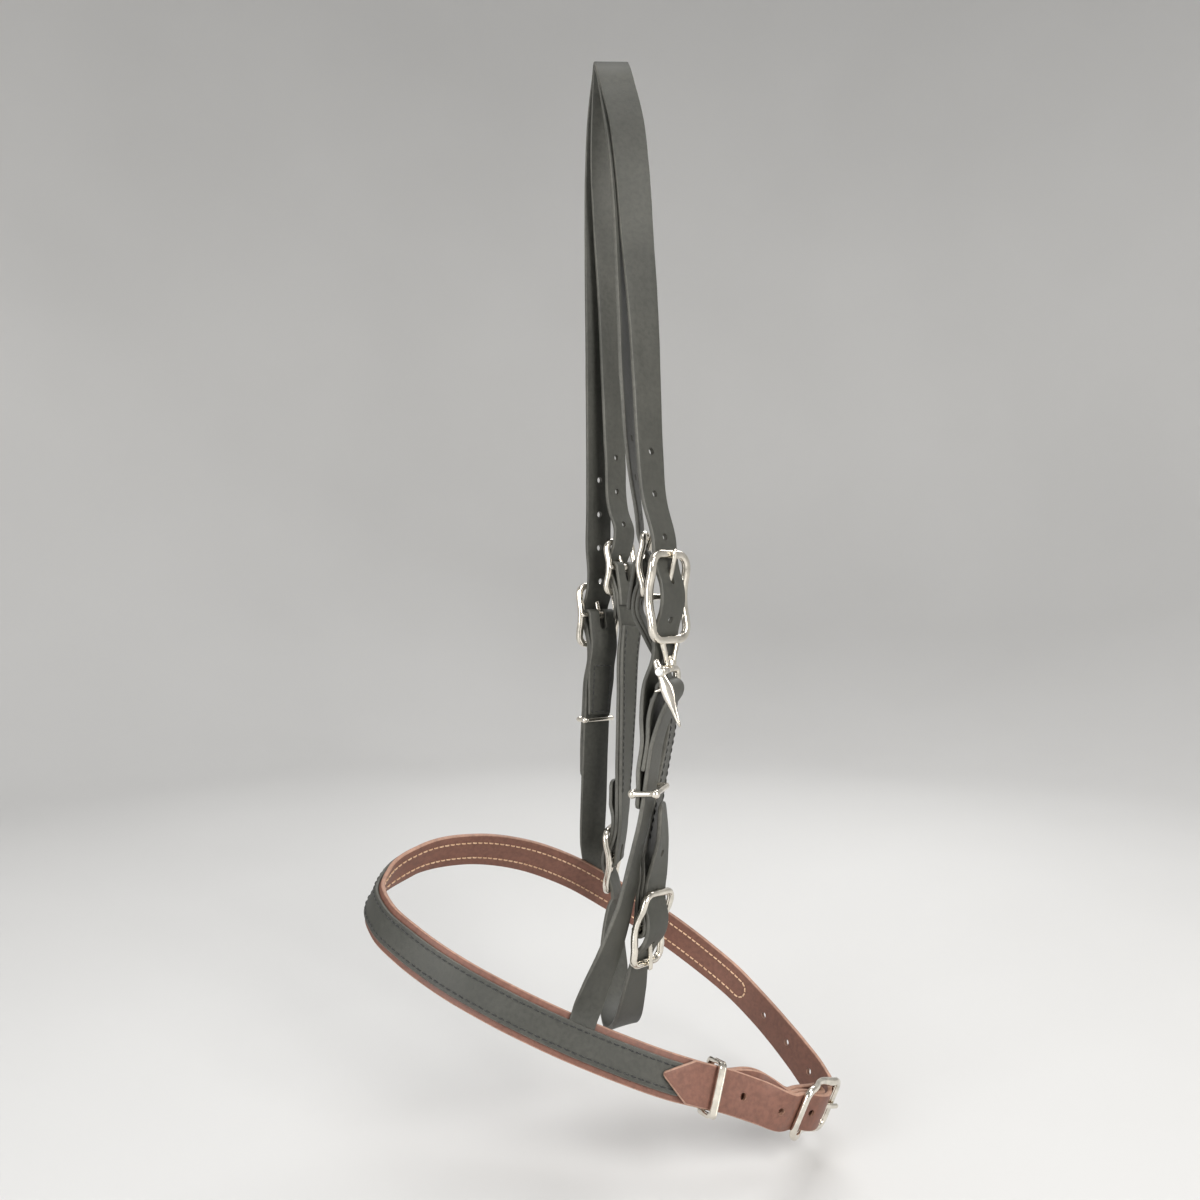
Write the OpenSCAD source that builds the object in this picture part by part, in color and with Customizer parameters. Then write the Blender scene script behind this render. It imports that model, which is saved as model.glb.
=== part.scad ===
// Bitless hackamore headstall: doubled crown over the poll, snap-buckle cheek,
// throat lash and a stitched noseband that closes with a chin buckle.
// It hangs from the poll: the origin is the underside of the crown, +Z up,
// the nose points to -X and the near side is -Y.

/* [Leather] */
// Thickness of the black straps
strap_t = 2.2; // [2:0.1:2.3]
// Width of the crown and cheek straps
strap_w = 19.5; // [17:0.5:20]
// Width of the throat lash and its hangers
throat_w = 19; // [16:0.5:19]
// Thickness of the brown noseband leather
nose_t = 2.6; // [2.2:0.1:2.7]
// Width of the brown noseband
nose_w = 22; // [21:0.5:24]
// Width of the black overlay on the noseband
overlay_w = 15.5; // [14:0.5:17]
// Width of the chin billet
billet_w = 21; // [18:0.5:21.5]
// Diameter of the punched holes
hole_d = 3.8; // [3:0.1:4.5]

/* [Buckles] */
// Outer length of the snap buckle
snap_l = 47; // [46:0.5:48]
// Outer width of the snap buckle
snap_b = 33; // [31:0.5:34]
// Outer length of the far crown, throat and chin buckles
buckle_l = 40.5; // [40:0.5:41]
// Outer width of the far crown buckle
buckle_b = 31; // [30:0.5:32]
// Outer length of the adjuster buckles
adjuster_l = 36; // [35.5:0.5:36.5]
// Outer width of the throat and adjuster buckles
throat_b = 29; // [28:0.5:30]
// Radius of the frame wire
wire_r = 1.8; // [1.6:0.1:1.9]
// Radius of the centre bars
bar_r = 1.6; // [1.4:0.1:1.6]
// Height of the end bars over the centre bar
rise = 2.4; // [2:0.1:2.6]

/* [Hidden] */
$fn = 48;
BLACK = [0.13, 0.13, 0.12];
BROWN = [0.42, 0.24, 0.18];
METAL = [0.75, 0.72, 0.66];
gap = 0.12;              // air between touching layers
lift = 1.9;              // radius of the tongue barrel bore
tongue_up = 10;          // how far a buckled tongue can lift, degrees

// The drawing datum lies at the height of the eye, the poll rest is above it.
datum = [-6, 0, -302.5];
function unit(v) = v / norm(v);
function yaw(a) = [cos(a), sin(a), 0];
function fnear(a) = [sin(a), -cos(a), 0];
function ffar(a) = [-sin(a), cos(a), 0];

// ---- buckle frames: [origin at the centre bar, across, along (tongue side), outward]
function fr(o, n, y) = let(yy = unit(y), nn = unit(n - (n * yy) * yy)) [o, cross(yy, nn), yy, nn];
function at(B, x, y, z) = B[0] + x * B[1] + y * B[2] + z * B[3];

SN = fr([33.5, -61.5, 1.5], fnear(50), [0, 0, 1]);
FC = fr([-0.5, 60, -9.5], ffar(36), [0, 0, 1]);
NA = fr([22, -44, 18], fnear(80), [0, 0, 1]);
FA = fr([14, 50, 20], ffar(50), [0, 0, 1]);
NT = fr([25, -55, -168], fnear(55), [-0.2, 0, -0.98]);
FT = fr([9, 45, -159], ffar(75), [0, 0, -1]);
CH = fr([114, -30, -273], [0.7, -0.64, -0.3], [0.6, 0.77, -0.22]);
// snap: origin on the swivel axis at the hook bar, across = bar direction, along = up
SH = fr([35.3, -63, -44], fnear(70), [0, 0, 1]);

// half length between the centre bar and an end bar
function hl(l) = l / 2 - wire_r;
ze = rise - wire_r - gap - strap_t / 2;            // strap behind an end bar
zf = bar_r + gap + strap_t / 2;                    // fold round a centre bar
zs = 3.0 + gap + strap_t / 2 + 0.3;                // billet over a bare tongue barrel
zb = zf + strap_t + gap;                           // billet over a folded hanger

// billet through a buckle, from the tongue side to the other side
function through(B, h, zc, ze, w, wd) = [
  [at(B, 0, h + 7, ze - 0.6), wd, w], [at(B, 0, h, ze), wd, w],
  [at(B, 0, h * 0.62, ze + (zc - ze) * 0.34), wd, w], [at(B, 0, h * 0.3, ze + (zc - ze) * 0.84), wd, w],
  [at(B, 0, 0, zc), wd, w],
  [at(B, 0, -h * 0.3, ze + (zc - ze) * 0.84), wd, w], [at(B, 0, -h * 0.62, ze + (zc - ze) * 0.34), wd, w],
  [at(B, 0, -h, ze), wd, w], [at(B, 0, -h - 7, ze - 0.6), wd, w]];
// hanger folded round a centre bar, from the inner layer to the outer layer
function fold(B, h, z1, z2, zf, w, wd) = [
  [at(B, 0, -h - 7, z1 - 0.5), wd, w], [at(B, 0, -h, z1), wd, w], [at(B, 0, -h * 0.5, (z1 - zf) / 2), wd, w],
  [at(B, 0, -1.5, -zf), wd, w], [at(B, 0, 1.2, -zf * 0.9), wd, w], [at(B, 0, zf * 0.85, -zf * 0.5), wd, w],
  [at(B, 0, zf, 0), wd, w],
  [at(B, 0, zf * 0.85, zf * 0.5), wd, w], [at(B, 0, 1.2, zf * 0.9), wd, w], [at(B, 0, -1.5, zf), wd, w],
  [at(B, 0, -h * 0.5, (z2 + zf) / 2), wd, w], [at(B, 0, -h, z2), wd, w], [at(B, 0, -h - 7, z2 - 0.5), wd, w]];
function rev(K) = [for (i = [len(K) - 1:-1:0]) K[i]];
function K3(x, y, z, a, w) = [[x, y, z], yaw(a), w];

// ---- strap sweep: keys [point, width direction, width]
function hp(K, i, u) =
  let(n = len(K), p1 = K[i][0], p2 = K[i + 1][0], p0 = i > 0 ? K[i - 1][0] : p1, p3 = i + 2 < n ? K[i + 2][0] : p2,
      d1 = norm(p2 - p1), d0 = max(norm(p1 - p0), 0.01), d2 = max(norm(p3 - p2), 0.01),
      m1 = i == 0 ? p2 - p1 : d1 * ((p1 - p0) / d0 - (p2 - p0) / (d0 + d1) + (p2 - p1) / d1),
      m2 = i + 2 >= n ? p2 - p1 : d1 * ((p2 - p1) / d1 - (p3 - p1) / (d1 + d2) + (p3 - p2) / d2))
  (2 * u * u * u - 3 * u * u + 1) * p1 + (u * u * u - 2 * u * u + u) * m1
    + (3 * u * u - 2 * u * u * u) * p2 + (u * u * u - u * u) * m2;
function samples(K, step) = concat([for (i = [0:len(K) - 2])
  let(m = max(1, round(norm(K[i + 1][0] - K[i][0]) / step)))
  for (j = [0:m - 1]) let(u = j / m) [hp(K, i, u), (1 - u) * K[i][1] + u * K[i + 1][1], (1 - u) * K[i][2] + u * K[i + 1][2]]],
  [K[len(K) - 1]]);
function cum(S) = [for (i = 0, s = 0; i < len(S); s = s + (i + 1 < len(S) ? norm(S[i + 1][0] - S[i][0]) : 0), i = i + 1) s];
// rings [point, across, along, outward, width, arc length]
function rings(K, step, turn = 1) = let(S = samples(K, step), C = cum(S), n = len(S)) [for (i = [0:n - 1])
  let(t = unit(S[min(i + 1, n - 1)][0] - S[max(i - 1, 0)][0]), w = unit(S[i][1] - (S[i][1] * t) * t))
  [S[i][0], w, t, cross(t, w) * turn, S[i][2], C[i]]];
module ribbon(R, t, off = 0, lat = 0, wide = 0) {
  n = len(R);
  P = [for (r = R) let(c = r[0] + off * r[3] + lat * r[1], a = (wide > 0 ? wide : r[4]) / 2 * r[1], b = t / 2 * r[3])
    each [c - a - b, c + a - b, c + a + b, c - a + b]];
  s = R[0][3] * cross(R[0][2], R[0][1]) > 0 ? 0 : 1;
  F = concat([[0, 1, 2, 3]], [for (i = [0:n - 2], k = [0:3]) let(a = 4 * i + k, b = 4 * i + (k + 1) % 4)
    each [[a, a + 4, b + 4], [a, b + 4, b]]], [[4 * n - 1, 4 * n - 2, 4 * n - 3, 4 * n - 4]]);
  polyhedron(P, s == 0 ? F : [for (f = F) rev(f)], convexity = 10);
}
function near_s(R, s) = [for (i = [0:len(R) - 2]) if (R[i][5] <= s && R[i + 1][5] > s) i][0];
function cut(R, s0, s1) = [for (r = R) if (r[5] >= s0 && r[5] <= s1) r];
module place(o, x, y, z) multmatrix([[x[0], y[0], z[0], o[0]], [x[1], y[1], z[1], o[1]], [x[2], y[2], z[2], o[2]], [0, 0, 0, 1]]) children();
module on(B) place(B[0], B[1], B[2], B[3]) children();
module punch(R, S, d) for (s = S) { i = near_s(R, s); u = (s - R[i][5]) / (R[i + 1][5] - R[i][5]);
  r = R[i]; place(r[0] + u * (R[i + 1][0] - r[0]), cross(r[2], r[3]), r[2], r[3]) cylinder(h = 8, d = d, center = true, $fn = 24); }
module shift() translate(datum) children();

// ---- routes -------------------------------------------------------------
sw = strap_w; tw = throat_w;
CROWN = concat(
  [K3(-4.6, 64.5, -114, 37, 8), K3(-4.5, 64.4, -108, 37, sw), K3(-4.4, 63.2, -92, 37, sw), K3(-3.4, 62, -70, 37, sw), K3(-2.2, 61.4, -50, 36, sw)],
  rev(through(FC, hl(buckle_l), zb, ze, sw, yaw(36))),
  [K3(-0.9, 58.5, 30, 39, sw), K3(-0.9, 57, 60, 41, sw), K3(-0.9, 54.5, 95, 41, sw), K3(-0.9, 45.5, 160, 38, sw),
   K3(-0.6, 35.5, 215, 30, sw), K3(0.5, 25.5, 257, 20, sw), K3(2.5, 15.5, 285, 10, sw), K3(5, 7, 301, 3, sw),
   K3(6, 0, 305.9, 0, sw), K3(7, -7, 301, 2, sw), K3(10.5, -15, 284, 4, sw), K3(14.3, -21, 265, 7, sw),
   K3(17, -26, 240, 12, sw), K3(20, -34, 194, 23, sw), K3(22.8, -43, 150, 34, sw), K3(24.3, -50, 112, 41, sw),
   K3(25.6, -54.5, 78, 45, sw), K3(27.6, -58, 52, 48, sw)],
  through(SN, hl(snap_l), zs, ze, sw, yaw(50)),
  [K3(26.4, -58.9, -44, 60, sw), K3(24.4, -60.4, -58, 66, sw), K3(24, -63.2, -72, 70, sw), K3(22, -64.4, -86, 70, sw),
   K3(22, -65, -96, 70, sw), K3(21.5, -65.2, -101, 70, sw), K3(21.2, -65.3, -105, 70, 10)]);
INNER = concat(
  [K3(21, 56.2, -22, 50, 8), K3(20.6, 56, -17, 50, tw), K3(16.5, 53.5, -6, 50, tw)],
  rev(through(FA, hl(adjuster_l), zb, ze, tw, yaw(50))),
  [K3(11.5, 50.6, 55, 50, tw), K3(9.4, 50, 88, 50, tw), K3(8, 47, 130, 45, tw), K3(6.5, 39.5, 180, 38, tw),
   K3(4.5, 30, 224, 28, tw), K3(3.6, 20, 259, 16, tw), K3(4.5, 11, 285, 8, tw), K3(5.5, 4.8, 300, 2, tw),
   K3(6, 0, 303.6, 0, tw), K3(6.8, -4.8, 300, 2, tw), K3(9, -11, 284, 10, tw), K3(12, -18.5, 255, 25, tw),
   K3(13.4, -27, 213, 45, tw), K3(13.8, -36, 159, 60, tw), K3(14.8, -42, 104, 70, tw), K3(17, -43.6, 70, 76, tw), K3(20, -44, 48, 80, tw)],
  through(NA, hl(adjuster_l), zb, ze, tw, yaw(80)),
  [K3(24.5, -43.6, -14, 78, tw), K3(28.5, -43.3, -22, 77, tw), K3(30.5, -43.2, -26, 77, 9)]);
NEARCHEEK = [K3(24.1, -65, -86, 70, sw), K3(26.6, -64.4, -71, 70, sw), K3(27.3, -62.6, -59, 70, sw), K3(29.3, -61.4, -51, 70, sw),
  [at(SH, 0, -1.5, -4.1), yaw(70), sw], [at(SH, 0, 0.9, -3.7), yaw(70), sw], [at(SH, 0, 2.5, -2.2), yaw(70), sw],
  [at(SH, 0, 3.15, 0), yaw(70), sw], [at(SH, 0, 2.5, 2.2), yaw(70), sw], [at(SH, 0, 0.9, 3.7), yaw(70), sw],
  [at(SH, 0, -1.5, 4.1), yaw(70), sw],
  K3(36, -64.3, -52, 70, sw), K3(32.5, -64.8, -60, 70, sw), K3(28.9, -65.3, -71, 70, sw), K3(26.4, -65.8, -86, 70, sw),
  K3(25, -66, -96, 70, sw), K3(22.4, -66.4, -110, 71, sw), K3(18.5, -67, -126, 72, sw), K3(12.6, -68, -153, 64, sw),
  K3(4, -68.4, -179, 45, 18), K3(-2.8, -67.6, -196, 26, 16), [[-7.6, -66, -209.4], [0.93, 0.05, -0.34], 14], [[-9.8, -67.8, -215.3], [0.93, 0, -0.36], 14]];
FARCHEEK = concat(
  [K3(-0.6, 56.2, -37.6, 36, sw)],
  fold(FC, hl(buckle_l), ze - 2 * strap_t - 2 * gap, ze - strap_t - gap, zf, sw, yaw(36)),
  [K3(-0.8, 59.1, -50, 36, sw), K3(-2, 59.7, -70, 37, sw), K3(-3, 60.6, -92, 37, sw), K3(-4, 61.2, -127, 36, sw), K3(-4.8, 63, -152, 26, 17),
   [[-4.4, 66.3, -166.4], [0.9, 0.06, -0.42], 14], [[-5.1, 69.1, -174.7], [0.87, 0.1, -0.48], 14]]);
FHANG = concat(
  rev(fold(FA, hl(adjuster_l), ze - 2 * strap_t - 2 * gap, ze - strap_t - gap, zf, tw, -yaw(50))), []);
NEARHANG_MID = [K3(25.4, -43.8, -20, 78, tw), K3(33, -40.2, -34, 76, tw), K3(38, -39.2, -50, 75, tw), K3(38.2, -39.4, -62, 75, tw),
  K3(34.6, -40.6, -84, 75, tw), K3(31.6, -42.6, -99, 74, tw), K3(28.8, -45, -115, 70, tw), K3(27, -48, -132, 65, tw)];
FARHANG_MID = [K3(18.2, 50.4, -16, 52, tw), K3(16.6, 50, -31, 55, tw), K3(15.5, 49, -61, 60, tw), K3(14, 47.4, -98, 66, tw), K3(12.8, 46.2, -124, 72, tw)];
THROAT = concat(
  [K3(31.8, -57.2, -104, 80, 9), K3(32, -57.2, -110, 78, tw), K3(32, -56.8, -122, 72, tw), K3(30.4, -55.6, -134, 62, tw)],
  rev(through(NT, hl(buckle_l), zb, ze, tw, yaw(55))),
  [K3(17.2, -50, -205, 48, tw), K3(14, -37, -224, 40, tw), K3(11, -20, -233, 32, tw), K3(8.6, 2, -229, 30, tw), K3(8, 20, -214, 40, tw), K3(8.5, 36, -195, 62, tw)],
  through(FT, hl(buckle_l), zb, ze, tw, yaw(75)),
  [K3(9.4, 47.8, -126, 72, tw), K3(9.6, 49.4, -116, 70, tw), K3(9.7, 49.8, -111, 70, 9)]);
// noseband: o = outward heading, f = flare of the lower edge
function nw(o, f) = -unit(cos(f) * [0.36, 0, 0.93] - sin(f) * yaw(o));
function N3(x, y, z, o, f, w) = [[x, y, z], nw(o, f), w];
cw = CH[1];
tn = nose_t + gap; ce = rise + 0.6 - wire_r - gap - nose_t / 2; cf = bar_r + gap + nose_t / 2;
CHF = hl(buckle_l);
BASE = concat(
  [N3(47.4, -59.8, -246.7, 280, 18, billet_w), N3(61.3, -56, -251.8, 284, 18, billet_w), N3(79, -45.5, -257, 288, 20, billet_w)],
  [for (k = fold(CH, CHF, ce - 2 * tn, ce - tn, cf, billet_w, cw)) k],
  [N3(82, -48.5, -257.5, 288, 20, billet_w), N3(62, -58.6, -250.6, 284, 18, billet_w), N3(50, -62, -246, 280, 18, 21.5), N3(38, -64.4, -241.6, 278, 18, nose_w),
   N3(10, -68, -230, 272, 18, nose_w), N3(-18, -67.6, -218.6, 268, 18, nose_w), N3(-51.5, -61, -205.5, 262, 18, nose_w),
   N3(-78.6, -50.5, -195, 250, 16, nose_w), N3(-103, -36, -184.5, 235, 13, nose_w), N3(-120, -19, -177, 212, 8, nose_w), N3(-128, -1, -170.5, 184, 5, nose_w),
   N3(-125, 13, -164, 160, 8, nose_w), N3(-110, 28, -156, 135, 13, nose_w), N3(-80, 46, -154, 112, 15, nose_w), N3(-51, 58, -160, 104, 15, nose_w),
   N3(-20, 66.5, -173, 96, 15, nose_w), N3(10, 71, -191, 90, 15, nose_w), N3(40, 72, -210, 84, 15, nose_w), N3(67, 68, -229, 72, 15, nose_w),
   N3(84, 59.5, -241, 60, 15, nose_w), N3(97, 46, -251, 48, 14, 21.5), N3(108, 30, -260, 30, 10, billet_w), N3(117, 14, -268, 14, 6, billet_w),
   N3(123, 0, -274, 4, 0, billet_w)],
  [for (k = through(CH, CHF, cf + tn, ce, billet_w, cw)) if (norm(k[0] - at(CH, 0, CHF + 7, ce - 0.6)) > 1) k],
  [N3(82, -54.8, -258.8, 288, 20, billet_w), N3(62.7, -61.3, -249.4, 284, 18, billet_w), N3(50.8, -65.2, -244.6, 280, 18, billet_w),
   N3(45.4, -67.3, -242.2, 279, 18, billet_w), N3(38.6, -69.2, -239.2, 278, 18, 11.5), N3(31.9, -70.3, -236.6, 277, 18, 2)]);

R_CROWN = rings(CROWN, 9);
R_INNER = rings(INNER, 9);
R_NCHEEK = rings(NEARCHEEK, 8);
R_FCHEEK = rings(FARCHEEK, 9);
R_THROAT = rings(THROAT, 8);
R_BASE = rings(BASE, 7);
NHANG = concat([[NEARHANG_MID[1][0] - 2.4 * fnear(76), yaw(76), tw]], [for (i = [2:7]) [NEARHANG_MID[i][0] - 2.4 * fnear(72), NEARHANG_MID[i][1], tw]],
  fold(NT, hl(buckle_l), ze - 2 * strap_t - 2 * gap, ze - strap_t - gap, zf, tw, yaw(55)),
  rev(NEARHANG_MID), rev(fold(NA, hl(adjuster_l), ze - 2 * strap_t - 2 * gap, ze - strap_t - gap, zf, tw, yaw(80))));
R_NHANG = rings(NHANG, 9);
FHANGK = concat([for (i = [0:4]) [FARHANG_MID[i][0] - 2.35 * ffar(52 + 5 * i), FARHANG_MID[i][1], tw]],
  fold(FT, hl(buckle_l), ze - 2 * strap_t - 2 * gap, ze - strap_t - gap, zf, tw, yaw(75)),
  rev(FARHANG_MID), rev(fold(FA, hl(adjuster_l), ze - 2 * strap_t - 2 * gap, ze - strap_t - gap, zf, tw, yaw(50))));
R_FHANG = rings(FHANGK, 9);

// ---- hardware ------------------------------------------------------------
module rod(a, b, r) { d = b - a; n = unit(d); x = unit(abs(n[2]) < 0.9 ? cross([0, 0, 1], n) : cross([1, 0, 0], n));
  place(a, x, cross(n, x), n) cylinder(h = norm(d), r = r); }
module rounded_loop(x, y, r, c) {
  for (s = [-1, 1]) { rod([s * x, -y + c, 0], [s * x, y - c, 0], r); rod([-x + c, s * y, 0], [x - c, s * y, 0], r); }
  for (sx = [0, 1], sy = [0, 1]) mirror([sx, 0, 0]) mirror([0, sy, 0]) translate([x - c, y - c, 0])
    rotate_extrude(angle = 90) translate([c, 0]) circle(r = r, $fn = 32);
}
module frame_shape(l, b, h) {
  translate([0, 0, h]) rounded_loop(b / 2 - wire_r, l / 2 - wire_r, wire_r, 6);
  rod([-b / 2 + wire_r, 0, 0], [b / 2 - wire_r, 0, 0], bar_r);
}
function shank_end(l, h) = [0, hl(l) + 0.6, h + wire_r + 0.35 + 1.15];
module tongue_shape(l, h) {
  e = shank_end(l, h);
  difference() { rotate([0, 90, 0]) cylinder(h = 3.6, r = 3, center = true); rotate([0, 90, 0]) cylinder(h = 10, r = lift, center = true); }
  rod(e * 2.4 / norm(e), e, 1.15);
  translate(e) sphere(r = 1.25, $fn = 32);
}
// room that a tongue needs in the leather over its travel
module tongue_room(B, l, h) on(B) {
  e = shank_end(l, h);
  for (a = [-2:3:tongue_up + 3]) rotate([a, 0, 0]) rod(e * 0.2, e * 1.1, 1.6);
}
module crew_slot(B) on(B) { translate([-2.4, -6.5, -7]) cube([4.8, 13, 13]); translate([0, -6.5, 0]) cylinder(h = 16, r = 2.4, center = true); }
module keeper_loop(B, x, z, r, c = 1.2) on(B) rotate([90, 0, 0]) rounded_loop(x, z, r, c);

// ---- leather nodes ---------------------------------------------------------
module crown_strap() color(BLACK) shift() difference() {
  ribbon(R_CROWN, strap_t);
  tongue_room(FC, buckle_l, rise);
  tongue_room(SN, snap_l, rise);
  punch(R_CROWN, crown_holes, hole_d);
}
module throat_crown_strap() color(BLACK) shift() difference() {
  ribbon(R_INNER, strap_t);
  tongue_room(FA, adjuster_l, rise);
  tongue_room(NA, adjuster_l, rise);
  punch(R_INNER, inner_holes, hole_d);
}
module near_cheek_strap() color(BLACK) shift() ribbon(R_NCHEEK, strap_t);
module far_cheek_strap() color(BLACK) shift() difference() { ribbon(R_FCHEEK, strap_t); crew_slot(FC); }
module far_cheek_lap() color(BLACK) shift() ribbon([for (r = R_FCHEEK) if (r[0][2] < -39 && r[0][2] > -72 && r[5] > 60) r], strap_t, strap_t + gap, 0, strap_w - 3);
module near_throat_hanger() color(BLACK) shift() difference() { ribbon(R_NHANG, strap_t); crew_slot(NT); crew_slot(NA); }
module far_throat_hanger() color(BLACK) shift() difference() { ribbon(R_FHANG, strap_t); crew_slot(FT); crew_slot(FA); }
module throat_strap() color(BLACK) shift() difference() {
  ribbon(R_THROAT, strap_t);
  tongue_room(NT, buckle_l, rise);
  tongue_room(FT, buckle_l, rise);
  punch(R_THROAT, throat_holes, hole_d);
}
module noseband_base() color(BROWN) shift() difference() {
  ribbon(R_BASE, nose_t);
  tongue_room(CH, buckle_l, rise + 0.6);
  crew_slot(CH);
  punch(R_BASE, chin_holes, hole_d);
}
module noseband_overlay() color(BLACK) shift() ribbon(cut(R_BASE, overlay_from, overlay_to), strap_t, (nose_t + strap_t) / 2 + 0.1, 0, overlay_w);

// ---- metal nodes -----------------------------------------------------------
// holes and the overlay, by their distance along each strap
crown_holes = [28, 49, 71, 92, 128.5, 149.5, 170.5, 192, 673.5, 696, 719, 762, 783.5, 805];
inner_holes = [34, 75, 96, 117, 566, 587, 608, 655];
throat_holes = [26, 47, 273, 294];
chin_holes = [683.5, 705.5, 728, 778, 802, 826];
overlay_from = 176;
overlay_to = 668;
lug = 12.5;
module snap_buckle_frame() color(METAL) shift() on(SN) {
  frame_shape(snap_l, snap_b, rise);
  translate([0, -hl(snap_l), rise]) {
    for (s = [-1, 1]) rod([s * 6, 0, 0], [s * 3.1, -lug + 1.5, 0], 1.2);
    difference() { translate([0, -lug, 0]) rotate([-90, 0, 0]) cylinder(h = 3, r = 3.4);
      translate([0, -lug - 1, 0]) rotate([-90, 0, 0]) cylinder(h = 6, r = 1.8); }
  }
}
module snap_buckle_tongue() color(METAL) shift() on(SN) tongue_shape(snap_l, rise);
module snap_hook() color(METAL) shift() on(SH) mirror([1, 0, 0]) {
  // stem and rivet head through the collar
  translate([0, 8.8, 0]) rotate([-90, 0, 0]) cylinder(h = 6.4, r = 1.45);
  translate([0, 14.6, 0]) rotate([-90, 0, 0]) cylinder(h = 1.4, r = 2.1);
  rod([-11.5, 8.8, 0], [6.5, 8.8, 0], 1.5);
  translate([6.5, 8.8, 0]) sphere(r = 1.6, $fn = 32);
  translate([-11.5, 6.8, 0]) rotate([0, 0, 90]) rotate_extrude(angle = 90) translate([2, 0]) circle(r = 1.5, $fn = 32);
  rod([-13.5, 2, 0], [-13.5, 6.8, 0], 1.5);
  translate([-11.5, 2, 0]) rotate([0, 0, 180]) rotate_extrude(angle = 90) translate([2, 0]) circle(r = 1.5, $fn = 32);
  rod([-11.5, 0, 0], [12, 0, 0], 1.5);
  translate([12, 0, 0]) sphere(r = 1.6, $fn = 32);
  rod([12, 0, 0], [13.2, 1.8, 0], 1.2);
}
// lever and gate turn on a pin across the top of the hook
module snap_lever() color(METAL) shift() on(SH) mirror([1, 0, 0]) {
  difference() { translate([8.7, 8.8, 0]) rotate([0, 90, 0]) cylinder(h = 9, r = 2.7); translate([6, 8.8, 0]) rotate([0, 90, 0]) cylinder(h = 16, r = 1.25); }
  rod([12.9, 6.9, 0], [12.9, 4.9, 0], 1.2);
  rod([16.4, 6.6, 0.4], [16.4, -6, 5.2], 1.15);
  rod([16.4, -6, 5.2], [16.4, -17.5, 9.6], 0.95);
}
module snap_pivot_pin() color(METAL) shift() on(SH) mirror([1, 0, 0]) { rod([5.5, 8.8, 0], [18.2, 8.8, 0], 0.95); rod([18, 8.8, 0], [19, 8.8, 0], 1.9); }
module snap_spring() color(METAL) shift() on(SH) mirror([1, 0, 0]) translate([8.34, 8.8, 0]) rotate([0, 90, 0]) rotate_extrude() translate([1.45, 0]) circle(r = 0.2, $fn = 24);
module far_crown_buckle_frame() color(METAL) shift() on(FC) frame_shape(buckle_l, buckle_b, rise);
module far_crown_buckle_tongue() color(METAL) shift() on(FC) tongue_shape(buckle_l, rise);
module near_adjuster_frame() color(METAL) shift() on(NA) frame_shape(adjuster_l, throat_b, rise);
module near_adjuster_tongue() color(METAL) shift() on(NA) tongue_shape(adjuster_l, rise);
module far_adjuster_frame() color(METAL) shift() on(FA) frame_shape(adjuster_l, throat_b, rise);
module far_adjuster_tongue() color(METAL) shift() on(FA) tongue_shape(adjuster_l, rise);
module near_throat_buckle_frame() color(METAL) shift() on(NT) frame_shape(buckle_l, throat_b, rise);
module near_throat_buckle_tongue() color(METAL) shift() on(NT) tongue_shape(buckle_l, rise);
module far_throat_buckle_frame() color(METAL) shift() on(FT) frame_shape(buckle_l, throat_b, rise);
module far_throat_buckle_tongue() color(METAL) shift() on(FT) tongue_shape(buckle_l, rise);
module chin_buckle_frame() color(METAL) shift() on(CH) frame_shape(buckle_l, buckle_b, rise + 0.6);
module chin_buckle_tongue() color(METAL) shift() on(CH) tongue_shape(buckle_l, rise + 0.6);
NK = fr([25.4, -66.3, -95.5], fnear(70), [-0.07, 0, 1]);
FK = fr([-3, 61, -75], ffar(37), [0, 0, 1]);
CK = fr([57, -60.2, -248.6], [0.34, -0.92, 0.2], [0.9, 0.26, -0.34]);
module near_cheek_keeper() color(METAL) shift() keeper_loop(NK, 11.2, 6, 1.2);
module far_cheek_keeper() color(METAL) shift() keeper_loop(FK, 11.2, 4.4, 1.2);
module chin_keeper() color(METAL) shift() keeper_loop(CK, 12.8, 6.8, 1.1);

crown_strap();
throat_crown_strap();
near_cheek_strap();
far_cheek_strap();
far_cheek_lap();
near_throat_hanger();
far_throat_hanger();
throat_strap();
noseband_base();
noseband_overlay();
snap_buckle_frame();
snap_buckle_tongue();
snap_hook();
snap_lever();
snap_pivot_pin();
snap_spring();
far_crown_buckle_frame();
far_crown_buckle_tongue();
near_adjuster_frame();
near_adjuster_tongue();
far_adjuster_frame();
far_adjuster_tongue();
near_throat_buckle_frame();
near_throat_buckle_tongue();
far_throat_buckle_frame();
far_throat_buckle_tongue();
chin_buckle_frame();
chin_buckle_tongue();
near_cheek_keeper();
far_cheek_keeper();
chin_keeper();
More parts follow.
